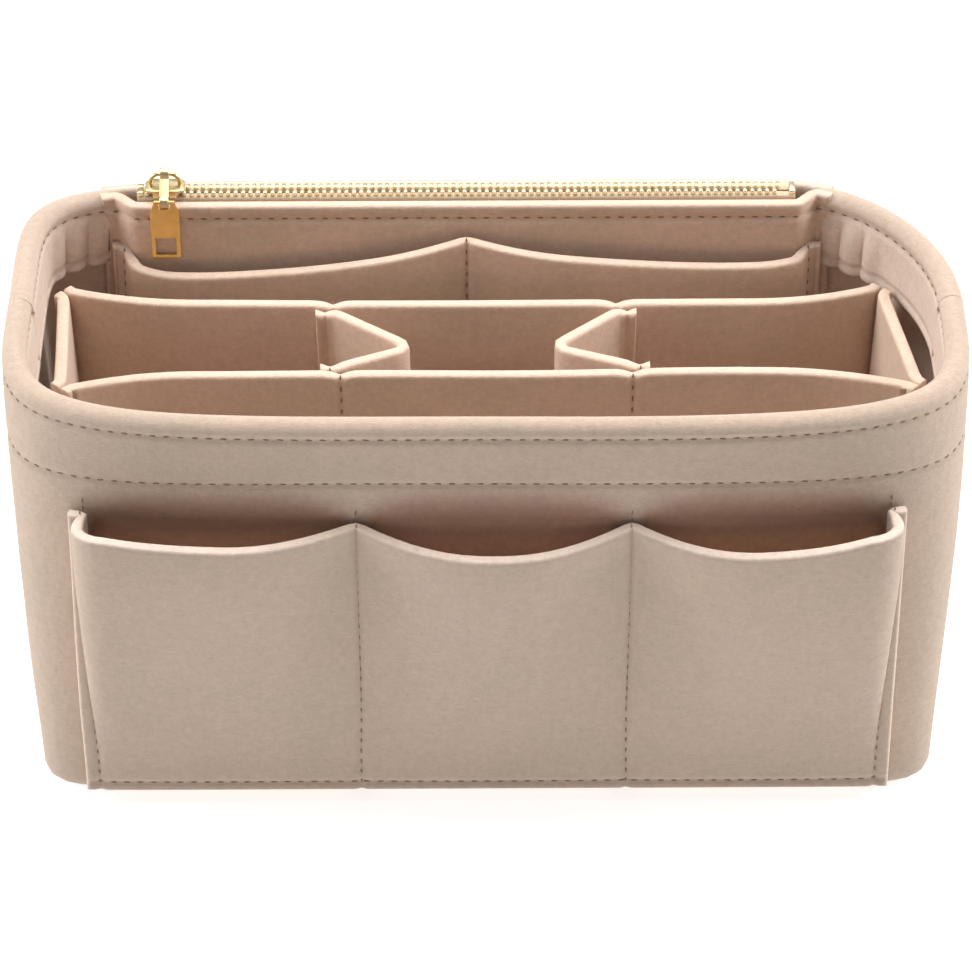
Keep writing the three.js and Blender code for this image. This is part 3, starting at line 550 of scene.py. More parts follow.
def grooves(rows, row_lines, columns, column_lines, last_row=math.inf):
    """Thickness left on a grid whose seams run along rows, along columns up to a last row, or both."""
    left = np.ones((len(rows), len(columns)))
    for line in row_lines:
        left *= groove(rows - line)[:, None]
    for line in column_lines:
        left *= np.where((rows <= last_row)[:, None], groove(columns - line)[None, :], 1)
    return left


def near_lines(lines, reach, step):
    """Extra places on both sides of each line, for a surface that bends there."""
    offsets = np.arange(-reach, reach + step / 2, step)
    return np.concatenate([line + offsets for line in lines])


# Outer wall: a strip that turns in under the base, with its top folded inward as a hem

foot_radius = TURN_IN - FELT / 2
fold_radius = FELT / 2
foot_run = foot_radius * math.pi / 2
fold_start = foot_run + HEIGHT - FELT - TURN_IN
fold_end = fold_start + fold_radius * math.pi
hem_end = fold_end + HEM_DEPTH - FELT
outer_stitches = [fold_start + FELT - drop for drop in (HEM_LOW_STITCH, HEM_TOP_STITCH)]
inner_stitches = [fold_end + drop - FELT for drop in (HEM_TOP_STITCH, HEM_LOW_STITCH)]
fold_marks = np.concatenate([
    np.linspace(0, foot_run, FOOT_ROWS),
    np.linspace(fold_start, fold_end, FOLD_ROWS),
])


def wall_section(run):
    """Inset and height of the felt's middle at a distance along the strip, from under the base to the hem."""
    foot = np.minimum(run / foot_radius, math.pi / 2)
    fold = np.clip((run - fold_start) / fold_radius, 0, math.pi)
    inset = TURN_IN - foot_radius * np.sin(foot) + fold_radius * (1 - np.cos(fold))
    rise = np.clip(run - foot_run, 0, fold_start - foot_run)
    fall = np.maximum(run - fold_end, 0)
    return inset, TURN_IN - foot_radius * np.cos(foot) + rise + fold_radius * np.sin(fold) - fall


def wall_grid(runs, shares, side):
    insets, heights = wall_section(runs)
    return np.stack([wall_row(shares, z, inset, side) for inset, z in zip(insets, heights)])


def half_girth(side):
    row = wall_row(np.linspace(0, 1, GIRTH_POINTS), HEIGHT / 2, FELT / 2, side)
    return np.linalg.norm(np.diff(row, axis=0), axis=1).sum()


def behind_mouths(points):
    """How far each place of the front wall lies behind a gaping pocket, for the painted shade and light
    there: 1 at its mouth, 2 deep inside.
    """
    x, z = points[..., 0], points[..., 2]
    lowest = pocket_seam_top - POCKET_SCOOP
    shoulder = HOLLOW_SHOULDER + HOLLOW_SPREAD * smoothstep(z, pocket_seam_top, HEIGHT - HEM_DEPTH)
    across = across_pocket(x, pocket_seams, shoulder, shoulder)
    near = 1 - smoothstep(z, lowest + HOLLOW_RISE, HEIGHT - HEM_DEPTH + HOLLOW_RISE)
    inside = 1 - smoothstep(z, lowest - HOLLOW_DEPTH, lowest + HOLLOW_RISE)
    return across * (near + inside)


def mark_painted_light_inside(runs, outer, inner):
    """Marks the faces that look inward with -1, where light is painted on to make them paler: the inner face
    of a wall and, past its fold, the hem.
    """
    fold = runs[np.argmax(wall_section(runs)[1])]
    hem = smoothstep(runs, fold, fold + FOLD_FADE)[:, None]
    outer *= 1 - hem
    outer -= hem
    inner -= 1


def sew_sides(sheet, runs, places, lines, near=True):
    """Thread along both side seams, from the turned-in foot up to the hem."""
    rows = slice(nearest(runs, foot_run), nearest(runs, outer_stitches[0]))
    for line in lines:
        sheet.sew(rows, nearest(places, line), near)


def front_wall():
    """The front half of the wall, its top folded in as a hem and sewn twice."""
    girth = half_girth(FRONT)
    side_lines = [SIDE_STITCH, girth - SIDE_STITCH]
    lines = outer_stitches + inner_stitches
    runs = marks(hem_end, lines=lines, extra=fold_marks)
    places = marks(girth, lines=side_lines)
    pinch = grooves(runs, lines, places, side_lines, outer_stitches[0])
    middle = uneven(wall_grid(runs, places / girth, FRONT))
    sheet = Sheet(middle, pinch=pinch, rounds=strip_rounds, raw=strip_cuts)
    # painted shade at the pocket mouths and painted bounce light inside them
    sheet.painted_shading = behind_mouths(middle)
    mark_painted_light_inside(runs, sheet.painted_shading, sheet.far_painted_shading)
    for line in [*outer_stitches, inner_stitches[0]]:
        sheet.sew(nearest(runs, line), slice(1, -1))
    sew_sides(sheet, runs, places, side_lines)
    piece = sheet_object("front_wall_felt", sheet)
    return piece


def rear_hem(start, end, girth, puckers):
    """The folded hem of the back wall between two shares of its length, gathered round the corner."""
    first = outer_stitches[1]
    folds = fold_marks[fold_marks > first]
    runs = first + marks(hem_end - first, HEM_STEP, [line - first for line in inner_stitches], folds - first)
    places = start * girth + marks((end - start) * girth, PUCKER_STEP)
    middle = wall_grid(runs, places / girth, BACK)
    wave = np.abs(np.sin(math.pi * (places - puckers[0]) / PUCKER_LENGTH)) ** PUCKER_POWER
    wave *= smoothstep(places, puckers[0], puckers[0] + PUCKER_LENGTH)
    wave *= 1 - smoothstep(places, puckers[1] - PUCKER_LENGTH, puckers[1])
    grown = smoothstep(runs, inner_stitches[0], inner_stitches[0] + PUCKER_DROP)
    middle -= facing(middle) * (PUCKER * grown[:, None] * wave[None, :])[..., None]
    from_ends = np.minimum(places - places[0], places[-1] - places)
    sewn = smoothstep(from_ends, HEM_SEAM_START, HEM_SEAM_FULL)[None, :]
    pinch = lerp(1, grooves(runs, [first, *inner_stitches], places, []), sewn)
    sheet = Sheet(middle, pinch=pinch, rounds=strip_rounds, raw=strip_cuts)
    mark_painted_light_inside(runs, sheet.far_painted_shading, sheet.painted_shading)
    sheet.sew(nearest(runs, inner_stitches[0]), slice(1, -1), near=False)
    return sheet


def back_wall():
    """The back half of the wall: single felt behind the zip, a folded hem beside it at both corners."""
    girth = half_girth(BACK)
    rim_shares = np.linspace(0, 1, RIM_POINTS)
    rim_x = wall_row(rim_shares, HEIGHT - FELT, FELT / 2, BACK)[:, 0]
    hem_shares = [np.interp(x, rim_x, rim_shares)
                  for x in (zip_panel_left - SEAM_GAP, zip_panel_right + SEAM_GAP)]
    hem_places = [share * girth for share in hem_shares]
    side_lines = [SIDE_STITCH, girth - SIDE_STITCH]
    full = foot_run + HEIGHT - TURN_IN
    runs = marks(full, lines=outer_stitches[:1], extra=fold_marks[fold_marks < foot_run])
    places = marks(girth, lines=side_lines, extra=near_lines(hem_places, HEM_END_STEP, HEM_END_STEP))
    insets, heights = wall_section(np.minimum(runs, foot_run))
    heights = heights + np.maximum(runs - foot_run, 0)
    behind_zip = (places > hem_places[0]) & (places < hem_places[1])
    corner_share = (HEIGHT - HEM_TOP_STITCH - TURN_IN) / (HEIGHT - TURN_IN)
    rows = []
    for inset, z in zip(insets, heights):
        lowered = TURN_IN + (z - TURN_IN) * corner_share if z > TURN_IN else z
        single = wall_row(places / girth, z, inset, BACK)
        hemmed = wall_row(places / girth, lowered, inset, BACK)
        rows.append(np.where(behind_zip[:, None], single, hemmed))
    pinch = grooves(runs, outer_stitches[:1], places, side_lines, outer_stitches[0])
    sheet = Sheet(np.stack(rows), rounds=(CUT_ROUND, FOLD_ROUND, SEAM_ROUND, SEAM_ROUND), pinch=pinch,
                  raw=(1, 0, 0, 0))
    # its inner face is marked for painted light, to look paler
    sheet.painted_shading -= 1
    sheet.sew(nearest(runs, outer_stitches[0]), slice(1, -1), near=False)
    sew_sides(sheet, runs, places, side_lines, near=False)
    left = rear_hem(0, hem_shares[0], girth, (PUCKER_INSET, hem_places[0]))
    right = rear_hem(hem_shares[1], 1, girth, (hem_places[1], girth - PUCKER_INSET))
    piece = sheet_object("back_wall_felt", sheet, left, right)
    return piece


def base_panel():
    """The felt bottom, which lies inside the turned-in foot of the wall."""
    inset = TURN_IN + SIDE_GAP
    half_length = BASE_LENGTH / 2 - inset
    columns = half_length * np.sin(np.linspace(-BASE_REACH, BASE_REACH, BASE_COLUMNS) * math.pi)
    front, back = -wall_depth(columns, 0, inset, FRONT), wall_depth(columns, 0, inset, BACK)
    shares = marks(BASE_DEPTH - 2 * inset) / (BASE_DEPTH - 2 * inset)
    y = lerp(front[None, :], back[None, :], shares[:, None])
    piece = sheet_object("base_panel_felt", Sheet(points_at(columns, y, FELT / 2)))
    return piece


# Rows of sewn pockets with scooped mouths

def pocket_share(x, seams):
    """The pocket that each place lies in, and its share of the way across it."""
    index = np.clip(np.searchsorted(seams, x) - 1, 0, len(seams) - 2)
    return index, np.clip((x - seams[index]) / (seams[index + 1] - seams[index]), 0, 1)


def mouth_height(x, seams, tops, scoops, skews):
    """The height of the panel's scooped edge at a place, between the tops of its seams."""
    index, share = pocket_share(x, seams)
    scoop = scoops[index] * (1 - np.abs(2 * share ** skews[index] - 1) ** MOUTH_POWER)
    return lerp(tops[index], tops[index + 1], share) - scoop


def across_pocket(x, seams, end_shoulder, seam_shoulder):
    """How far a pocket's front has risen at a place, from 0 on a seam to 1 past the shoulder."""
    risen = ((x > seams[0]) & (x < seams[-1])).astype(float)
    for seam in seams:
        shoulder = end_shoulder if seam in (seams[0], seams[-1]) else seam_shoulder
        risen *= np.sin(math.pi / 2 * np.minimum(np.abs(x - seam) / shoulder, 1))
    return risen


def front_pocket_panel():
    """One panel sewn to the front wall as three pockets, swelling up to their mouths."""
    seam_runs = pocket_seams + pocket_half
    columns = marks(2 * pocket_half, lines=seam_runs,
                    extra=near_lines(seam_runs, POCKET_END_SHOULDER, SHOULDER_STEP)) - pocket_half
    mouth = mouth_height(columns, pocket_seams, pocket_tops, pocket_scoops, pocket_skews)
    tall = pocket_seam_top - POCKET_BOTTOM
    rows = marks(tall, lines=[POCKET_BOTTOM_STITCH])
    z = POCKET_BOTTOM + rows[:, None] / tall * (mouth - POCKET_BOTTOM)[None, :]
    rise = smoothstep(z, POCKET_BOTTOM, pocket_seam_top)
    risen = across_pocket(columns, pocket_seams, POCKET_END_SHOULDER, POCKET_SEAM_SHOULDER)
    swell = POCKET_SWELL * risen[None, :] * rise
    depth = -wall_depth(columns[None, :], z, -(SEAM_GAP + swell + FELT / 2), FRONT)
    pinch = grooves(rows, [POCKET_BOTTOM_STITCH], columns, pocket_seams)
    from_end = np.abs(columns) - pocket_seams[-1]
    bulge = np.sin(math.pi * np.clip(from_end / POCKET_END_SHOULDER, -1, 0))
    x = columns - POCKET_END_BULGE * np.sign(columns) * bulge * rise
    sheet = Sheet(uneven(points_at(x, depth, z)), pinch=pinch)
    first, last = nearest(columns, pocket_seams[0]), nearest(columns, pocket_seams[-1])
    bottom = nearest(rows, POCKET_BOTTOM_STITCH)
    sheet.sew(bottom, slice(first, last + 1))
    for seam in pocket_seams:
        sheet.sew(slice(bottom, -1), nearest(columns, seam))
        tack_z = mouth[nearest(columns, seam)] + np.array([TACK_RISE, STITCH_LENGTH + TACK_MORE])
        tack_y = -wall_depth(seam, tack_z, -STITCH_LIFT, FRONT)
        thread_runs.append(points_at(seam, tack_y, tack_z))
    piece = sheet_object("front_pocket_felt", sheet)
    return piece


def zip_panel_bend(x):
    """0 where the ends of the panel lie on the wall, 1 along the zip."""
    from_left = smoothstep(x, zip_panel_left + ZIP_PANEL_FLANGE, zip_left)
    return from_left * (1 - smoothstep(x, zip_right, zip_panel_right - ZIP_PANEL_FLANGE))


def zip_panel_rear(x, z):
    """How far back the zip pocket's front reaches: to the wall at its ends and its foot."""
    wall = wall_depth(x, z, FELT + SEAM_GAP, BACK)
    hang = np.clip((z - ZIP_PANEL_BOTTOM) / (zip_straight_z - ZIP_PANEL_BOTTOM), 0, 1)
    return wall - zip_panel_bend(x) * hang * np.maximum(wall - zip_face_rear, 0)


def zip_pocket_panel():
    """The felt front of the zipped pocket, bent back to the wall at both ends."""
    wide = zip_panel_right - zip_panel_left
    bends = np.array([ZIP_PANEL_FLANGE + ZIP_PANEL_BEND / 2, wide - ZIP_PANEL_FLANGE - ZIP_PANEL_BEND / 2])
    columns = zip_panel_left + marks(wide, extra=near_lines(bends, ZIP_PANEL_BEND, BEND_STEP))
    tall = HEIGHT - ZIP_PANEL_BOTTOM
    stitch = tall - ZIP_PANEL_STITCH
    rows = marks(tall, lines=[stitch])
    z = ZIP_PANEL_BOTTOM + rows[:, None]
    depth = zip_panel_rear(columns[None, :], z) - FELT / 2
    sheet = Sheet(points_at(columns, depth, z), pinch=grooves(rows, [stitch], columns, []))
    straight = slice(nearest(columns, zip_left), nearest(columns, zip_right) + 1)
    sheet.sew(nearest(rows, stitch), straight)
    piece = sheet_object("zip_pocket_felt", sheet)
    return piece


def slip_pocket_panel():
    """One panel sewn to the zip pocket's front as two pockets."""
    wide = slip_right - slip_left
    seam_runs = slip_seams - slip_left
    columns = slip_left + marks(wide, lines=seam_runs,
                                extra=near_lines(seam_runs, SLIP_END_SHOULDER, SHOULDER_STEP))
    mouth = mouth_height(columns, slip_seams, slip_tops, slip_scoops, slip_skews)
    tall = slip_seam_top - SLIP_BOTTOM
    rows = marks(tall)
    z = SLIP_BOTTOM + rows[:, None] / tall * (mouth - SLIP_BOTTOM)[None, :]
    from_ends = np.minimum(columns - slip_seams[0], slip_seams[-1] - columns)
    seam_room = slip_stand_off * smoothstep(from_ends, 0, SLIP_FLANGE)
    risen = across_pocket(columns, slip_seams, SLIP_END_SHOULDER, SLIP_SEAM_SHOULDER)
    stand_off = lerp(seam_room, SLIP_SWELL, risen)
    rise = smoothstep(z, SLIP_BOTTOM, zip_straight_z)
    depth = zip_panel_rear(columns[None, :], z) - 1.5 * FELT - SEAM_GAP - stand_off[None, :] * rise
    sheet = Sheet(points_at(columns, depth, z), pinch=grooves(rows, [], columns, slip_seams))
    for seam in slip_seams:
        sheet.sew(slice(1, -1), nearest(columns, seam))
    piece = sheet_object("slip_pocket_felt", sheet)
    return piece


# Tray: upright felt strips that follow a path seen from above

def rounded_path(corners, radius, steps=8):
    """A path of corner points with its inner corners rounded."""
    corners = [np.array(corner) for corner in corners]
    path = [corners[0]]
    for before, corner, after in zip(corners, corners[1:], corners[2:]):
        to_before = unit(before - corner)
        to_after = unit(after - corner)
        half = math.acos(np.clip(to_before @ to_after, -1, 1)) / 2
        centre = corner + unit(to_before + to_after) * radius / math.sin(half)
        start = corner + to_before * radius / math.tan(half) - centre
        turn = math.pi - 2 * half
        turn *= -np.sign(start[0] * to_before[1] - start[1] * to_before[0])
        for angle in np.linspace(0, turn, steps):
            cos, sin = math.cos(angle), math.sin(angle)
            path.append(centre + np.array([cos * start[0] - sin * start[1], sin * start[0] + cos * start[1]]))
    return np.array([*path, corners[-1]])


class Strip:
    """An upright felt strip along a path, with seams across it at some places along the path."""

    def __init__(self, path, seam_runs=lambda run: ()):
        run = np.concatenate([[0], np.cumsum(np.linalg.norm(np.diff(path, axis=0), axis=1))])
        self.seams = seam_runs(run)
        self.places = marks(run[-1], TRAY_STEP, self.seams)
        self.rows = marks(tray_top - tray_bottom, TRAY_ROW_STEP)
        x = np.interp(self.places, run, path[:, 0])
        y = np.interp(self.places, run, path[:, 1])
        top = np.full_like(x, tray_top)
        for seam in self.seams:
            top -= TRAY_NOTCH * np.exp(-((self.places - seam) / TRAY_NOTCH_REACH) ** 2)
        share = (self.rows / self.rows[-1])[:, None]
        z = tray_bottom + share * (top - tray_bottom)[None, :]
        skew = lerp(TRAY_LEFT_SKEW, TRAY_RIGHT_SKEW, (x + tray_wall_half) / (2 * tray_wall_half))
        x = x + TRAY_SHIFT - skew * (y - tray_middle_y)
        middle = points_at(x * lerp(tray_taper, 1, share), y, z)
        pinch = grooves(self.rows, [], self.places, self.seams)
        self.sheet = Sheet(uneven(middle), pinch=pinch, rounds=strip_rounds)

    def sew(self, near):
        for seam in self.seams:
            self.sheet.sew(slice(1, -1), nearest(self.places, seam), near)

    def piece(self, name, held, rests_on):
        made = sheet_object(name, self.sheet)
        return made


def tray_side(name, y, toward):
    """A long side of the tray, flared at both ends into a small tab."""
    half = tray_end_x - tab_shift
    share = np.linspace(0, 1, FLARE_POINTS)
    flare = np.stack([half - TRAY_FLARE_LENGTH * (1 - share), y + toward * TRAY_FLARE * share ** 2], axis=-1)
    end = flare[-1] + np.array([tab_reach, toward * tab_reach])
    right = np.concatenate([flare[:-2], rounded_path([*flare[-2:], end], TRAY_CORNER)])
    path = np.concatenate([right[::-1] * [-1, 1], right])

    def seam_runs(run):
        return [np.interp(x, path[:, 0], run) for x in (-GUSSET_SEAM_X, GUSSET_SEAM_X)]

    strip = Strip(path, seam_runs)
    strip.sew(near=toward == FRONT)
    return strip.piece(name, "stretched", ["base_panel_felt"])


def tray_end(name, sign):
    """An end of the tray, with a tab along each of its sides."""
    back = np.array([tray_end_x, tray_back_y + TRAY_FLARE - tab_shift])
    front = np.array([tray_end_x, tray_front_y - TRAY_FLARE + tab_shift])
    out_back, out_front = [tab_reach, tab_reach], [tab_reach, -tab_reach]
    corners = np.array([back + out_back, back, front, front + out_front]) * [sign, 1]
    return Strip(rounded_path(corners, TRAY_CORNER)).piece(name, "stretched", ["base_panel_felt"])


def gusset(name, sign):
    """A divider folded to a V, with a tab sewn to each long side of the tray."""
    back = tray_back_y - layer_step
    front = tray_front_y + layer_step
    tab_x = GUSSET_SEAM_X + GUSSET_TAB
    apex = (GUSSET_APEX_X, tray_middle_y - GUSSET_APEX_FORWARD)
    corners = np.array([(tab_x, back), (GUSSET_SEAM_X, back), apex, (GUSSET_SEAM_X, front), (tab_x, front)])
    strip = Strip(rounded_path(corners * [sign, 1], GUSSET_FOLD),
                  lambda run: [GUSSET_TAB / 2, run[-1] - GUSSET_TAB / 2])
    strip.sew(near=sign > 0)
    return strip.piece(name, "folded", ["tray_back_felt", "tray_front_felt"])


# Node helpers

def feed(tree, socket, value):
    """Links an input to another node's output, or gives it a fixed value."""
    if isinstance(value, bpy.types.NodeSocket):
        tree.links.new(value, socket)
    else:
        socket.default_value = value


def add_node(tree, kind, settings=None, **inputs):
    """Adds a node, with settings as its properties and the other words as its inputs: values or links."""
    node = tree.nodes.new(kind)
    for name, value in (settings or {}).items():
        setattr(node, name, value)
    for name, value in inputs.items():
        feed(tree, node.inputs[name.replace("_", " ")], value)
    return node


def add_math(tree, kind, operation, *values):
    """Adds a node that works on values in their order, and returns what it gives."""
    node = add_node(tree, kind, {"operation": operation})
    for socket, value in zip(node.inputs, values):
        feed(tree, socket, value)
    return node.outputs[0]


def new_group(name, kind, inputs, outputs):
    """An empty node group with named sockets, and its input and output nodes."""
    tree = bpy.data.node_groups.new(name, kind)
    for socket, (socket_kind, value) in inputs.items():
        made = tree.interface.new_socket(socket, in_out="INPUT", socket_type=socket_kind)
        if value is not None:
            made.default_value = value
    for socket, socket_kind in outputs.items():
        tree.interface.new_socket(socket, in_out="OUTPUT", socket_type=socket_kind)
    return tree, tree.nodes.new("NodeGroupInput"), tree.nodes.new("NodeGroupOutput")


def grown_mesh(name, source, tree, values):
    """The plain mesh that a geometry tree makes of a source mesh, its inputs set by their sockets."""
    holder = new_object(name + "_source", source)
    modifier = holder.modifiers.new("grow", "NODES")
    modifier.node_group = tree
    for item in tree.interface.items_tree:
        if item.in_out == "INPUT" and item.name in values:
            modifier[item.identifier] = values[item.name]
    mesh = shown_mesh(holder)
    mesh.name = name
    holder.modifiers.remove(modifier)
    bpy.data.objects.remove(holder)
    return mesh


# Sewing thread: a stitch laid at even steps along every seam

def stitch_tree():
    """A stitch at every step of each seam, drawn out along it and a little uneven."""
    tree, given, result = new_group("Stitches", "GeometryNodeTree", {
        "Seams": ("NodeSocketGeometry", None),
        "Pitch": ("NodeSocketFloat", STITCH_PITCH),
        "Length": ("NodeSocketFloat", STITCH_LENGTH),
        "Thickness": ("NodeSocketFloat", STITCH_THICKNESS),
        "Unevenness": ("NodeSocketFloat", STITCH_UNEVENNESS),
        "Seed": ("NodeSocketInt", STITCH_SEED),
        "Thread": ("NodeSocketMaterial", None),
    }, {"Stitches": "NodeSocketGeometry"})
    put = given.outputs
    path = add_node(tree, "GeometryNodeMeshToCurve", Mesh=put["Seams"])
    even = add_node(tree, "GeometryNodeResampleCurve", {"mode": "LENGTH"}, Curve=path.outputs[0],
                    Length=put["Pitch"])
    ball = add_node(tree, "GeometryNodeMeshUVSphere", Segments=8, Rings=5, Radius=0.5)
    size = add_node(tree, "ShaderNodeCombineXYZ", X=put["Length"], Y=put["Thickness"], Z=put["Thickness"])
    stitch = add_node(tree, "GeometryNodeTransform", Geometry=ball.outputs[0], Scale=size.outputs[0])
    tangent = add_node(tree, "GeometryNodeInputTangent")
    wander = add_node(tree, "FunctionNodeRandomValue", {"data_type": "FLOAT_VECTOR"}, Seed=put["Seed"])
    wander.inputs[0].default_value = (-1, -1, -1)
    wander.inputs[1].default_value = (1, 1, 1)
    turned = add_math(tree, "ShaderNodeVectorMath", "MULTIPLY_ADD", wander.outputs[0], put["Unevenness"],
                      tangent.outputs[0])
    along = add_node(tree, "FunctionNodeAlignRotationToVector", {"axis": "X"}, Vector=turned)
    laid = add_node(tree, "GeometryNodeInstanceOnPoints", Points=even.outputs[0], Instance=stitch.outputs[0],
                    Rotation=along.outputs[0])
    real = add_node(tree, "GeometryNodeRealizeInstances", Geometry=laid.outputs[0])
    smooth = add_node(tree, "GeometryNodeSetShadeSmooth", Geometry=real.outputs[0])
    done = add_node(tree, "GeometryNodeSetMaterial", Geometry=smooth.outputs[0], Material=put["Thread"])
    tree.links.new(done.outputs[0], result.inputs["Stitches"])
    return tree


def stitches(thread):
    """All the sewing thread as one piece."""
    vertices, edges = [], []
    for run in thread_runs:
        first = len(vertices)
        vertices += run.tolist()
        edges += [(first + i, first + i + 1) for i in range(len(run) - 1)]
    seams = plain_mesh("seams", vertices, edges, [])
    return new_object("seam_stitches", grown_mesh("seam_stitches", seams, stitch_tree(), {"Thread": thread}))


# Zip tapes and teeth

def zip_tape(name, side):
    """A woven strip that lies flat beside the teeth and turns down along the felt it is sewn to."""
    columns = zip_left + marks(zip_right - zip_left, TAPE_STEP)
    flat_z = tape_bottom + TAPE / 2
    upright = np.linspace(HEIGHT - TAPE_TURN_DOWN, flat_z - TAPE_BEND_LOW, TAPE_UPRIGHT_ROWS)
    rows = []
    for z in [*upright, flat_z - TAPE_BEND_HIGH]:
        y = zip_face_rear + SEAM_GAP + TAPE / 2
        if side == BACK:
            y = wall_depth(columns, z, FELT + 2 * SEAM_GAP, BACK) - TAPE / 2
        rows.append(points_at(columns, y, z))
    outer = y - side * TAPE_BEND_IN
    inner = zip_y + side * (CHAIN_SLOT / 2 - TOOTH_REACH)
    for share in np.linspace(0, 1, TAPE_FLAT_ROWS):
        rows.append(points_at(columns, lerp(outer, inner, share), flat_z))
    piece = sheet_object(name, Sheet(np.stack(rows), thickness=TAPE * TAPE_WOVEN, rounds=(TAPE_ROUND,) * 4))
    return piece


def bevelled_block(size, centre, bevel, segments=2):
    shape = bmesh.new()
    bmesh.ops.create_cube(shape, size=1)
    bmesh.ops.scale(shape, vec=size, verts=shape.verts)
    bmesh.ops.bevel(shape, geom=shape.edges[:], offset=bevel, segments=segments, affect="EDGES", profile=0.5)
    bmesh.ops.translate(shape, vec=centre, verts=shape.verts)
    mesh = worked_mesh("block", shape)
    mesh.shade_smooth()
    return mesh


def teeth_tree():
    """A row of equal teeth along the zip."""
    tree, given, result = new_group("Zip teeth", "GeometryNodeTree", {
        "Tooth": ("NodeSocketGeometry", None),
        "Count": ("NodeSocketInt", 2),
        "Pitch": ("NodeSocketFloat", TOOTH_PITCH),
        "First tooth": ("NodeSocketVector", None),
        "Metal": ("NodeSocketMaterial", None),
    }, {"Teeth": "NodeSocketGeometry"})
    put = given.outputs
    step = add_node(tree, "ShaderNodeCombineXYZ", X=put["Pitch"])
    line = add_node(tree, "GeometryNodeMeshLine", Count=put["Count"], Offset=step.outputs[0])
    tree.links.new(put["First tooth"], line.inputs["Start Location"])
    row = add_node(tree, "GeometryNodeInstanceOnPoints", Points=line.outputs[0], Instance=put["Tooth"])
    real = add_node(tree, "GeometryNodeRealizeInstances", Geometry=row.outputs[0])
    done = add_node(tree, "GeometryNodeSetMaterial", Geometry=real.outputs[0], Material=put["Metal"])
    tree.links.new(done.outputs[0], result.inputs["Teeth"])
    return tree


def teeth_row(name, side, tree, metal):
    """One of the two rows of teeth, the rear one half a step further along."""
    row_shift = TOOTH_PITCH / 2 if side == BACK else 0
    count = math.floor((chain_right - chain_left - TOOTH_PITCH / 2) / TOOTH_PITCH)
    first_x = chain_left + (TOOTH_PITCH - TOOTH_WIDTH) / 4 + row_shift + TOOTH_WIDTH / 2
    long = (CHAIN_WIDTH - CHAIN_SLOT) / 2 + TOOTH_REACH
    middle = side * (CHAIN_WIDTH - long) / 2
    tooth = bevelled_block((TOOTH_WIDTH, long, CHAIN_THICKNESS), (0, 0, 0), TOOTH_ROUND)
    first = (first_x, zip_y + middle, (chain_bottom + chain_top) / 2)
    values = {"Count": count, "First tooth": first, "Metal": metal}
    return new_object(name, grown_mesh(name, tooth, tree, values))


def stop(name, left, low, high):
    """A block that ends the chain, from one place across it to another."""
    size = (STOP_LENGTH, high - low, CHAIN_THICKNESS)
    centre = (left + STOP_LENGTH / 2, zip_y + (low + high) / 2, (chain_bottom + chain_top) / 2)
    return new_object(name, bevelled_block(size, centre, STOP_ROUND))


# Slider, link and tab

def arc(centre_x, centre_y, radius, from_degrees, to_degrees, steps=10):
    angles = np.radians(np.linspace(from_degrees, to_degrees, steps))
    return [(centre_x + radius * math.cos(a), centre_y + radius * math.sin(a)) for a in angles]


def round_hole(centre_x, radius, steps=24):
    """A whole circle, whose last point stops a step before its first."""
    return arc(centre_x, 0, radius, 0, 360 - 360 / steps, steps)


def rounded_rectangle(length, width, radius):
    x, y = length / 2 - radius, width / 2 - radius
    corners = ((x, y, 0), (-x, y, 90), (-x, -y, 180), (x, -y, 270))
    return [point for cx, cy, start in corners for point in arc(cx, cy, radius, start, start + 90)]


def plate_mesh(outlines, thickness, bevel):
    """A flat plate from an outline and the outlines of its holes, with all its edges rounded."""
    curve = bpy.data.curves.new("plate", "CURVE")
    curve.dimensions = "2D"
    curve.fill_mode = "BOTH"
    curve.extrude = thickness / 2 - bevel
    curve.bevel_depth = bevel
    curve.bevel_resolution = 2
    curve.offset = -bevel
    for outline in outlines:
        spline = curve.splines.new("POLY")
        spline.points.add(len(outline) - 1)
        spline.use_cyclic_u = True
        for point, (x, y) in zip(spline.points, outline):
            point.co = (x, y, 0, 1)
    holder = new_object("plate", curve)
    mesh = shown_mesh(holder)
    bpy.data.objects.remove(holder)
    return mesh


def tube_mesh(path, radius, segments=12):
    """A round bar along a path in the plane of X and Z, closed at both ends."""
    path = np.array(path)
    along = unit(np.gradient(path, axis=0))
    rings = []
    for (x, z), (dx, dz) in zip(path, along):
        angles = np.linspace(0, 2 * math.pi, segments, endpoint=False)
        rings.append([(x - dz * radius * math.cos(a), radius * math.sin(a), z + dx * radius * math.cos(a))
                      for a in angles])
    faces = []
    for i in range(len(rings) - 1):
        for j in range(segments):
            k = (j + 1) % segments
            faces.append((i * segments + j, i * segments + k, (i + 1) * segments + k, (i + 1) * segments + j))
    faces.append(tuple(range(segments))[::-1])
    faces.append(tuple((len(rings) - 1) * segments + j for j in range(segments)))
    return plain_mesh("bar", [point for ring in rings for point in ring], [], faces)


def metal_piece(name, parts):
    """One object of several meshes, each put in place by its matrix."""
    shape = bmesh.new()
    for mesh, place in parts:
        mesh.transform(place)
        shape.from_mesh(mesh)
    bmesh.ops.remove_doubles(shape, verts=shape.verts, dist=SAME_PLACE)
    bmesh.ops.recalc_face_normals(shape, faces=shape.faces)
    mesh = worked_mesh(name, shape)
    mesh.shade_smooth()
    mesh.set_sharp_from_angle(angle=math.radians(SHARP_EDGE))
    return new_object(name, mesh)


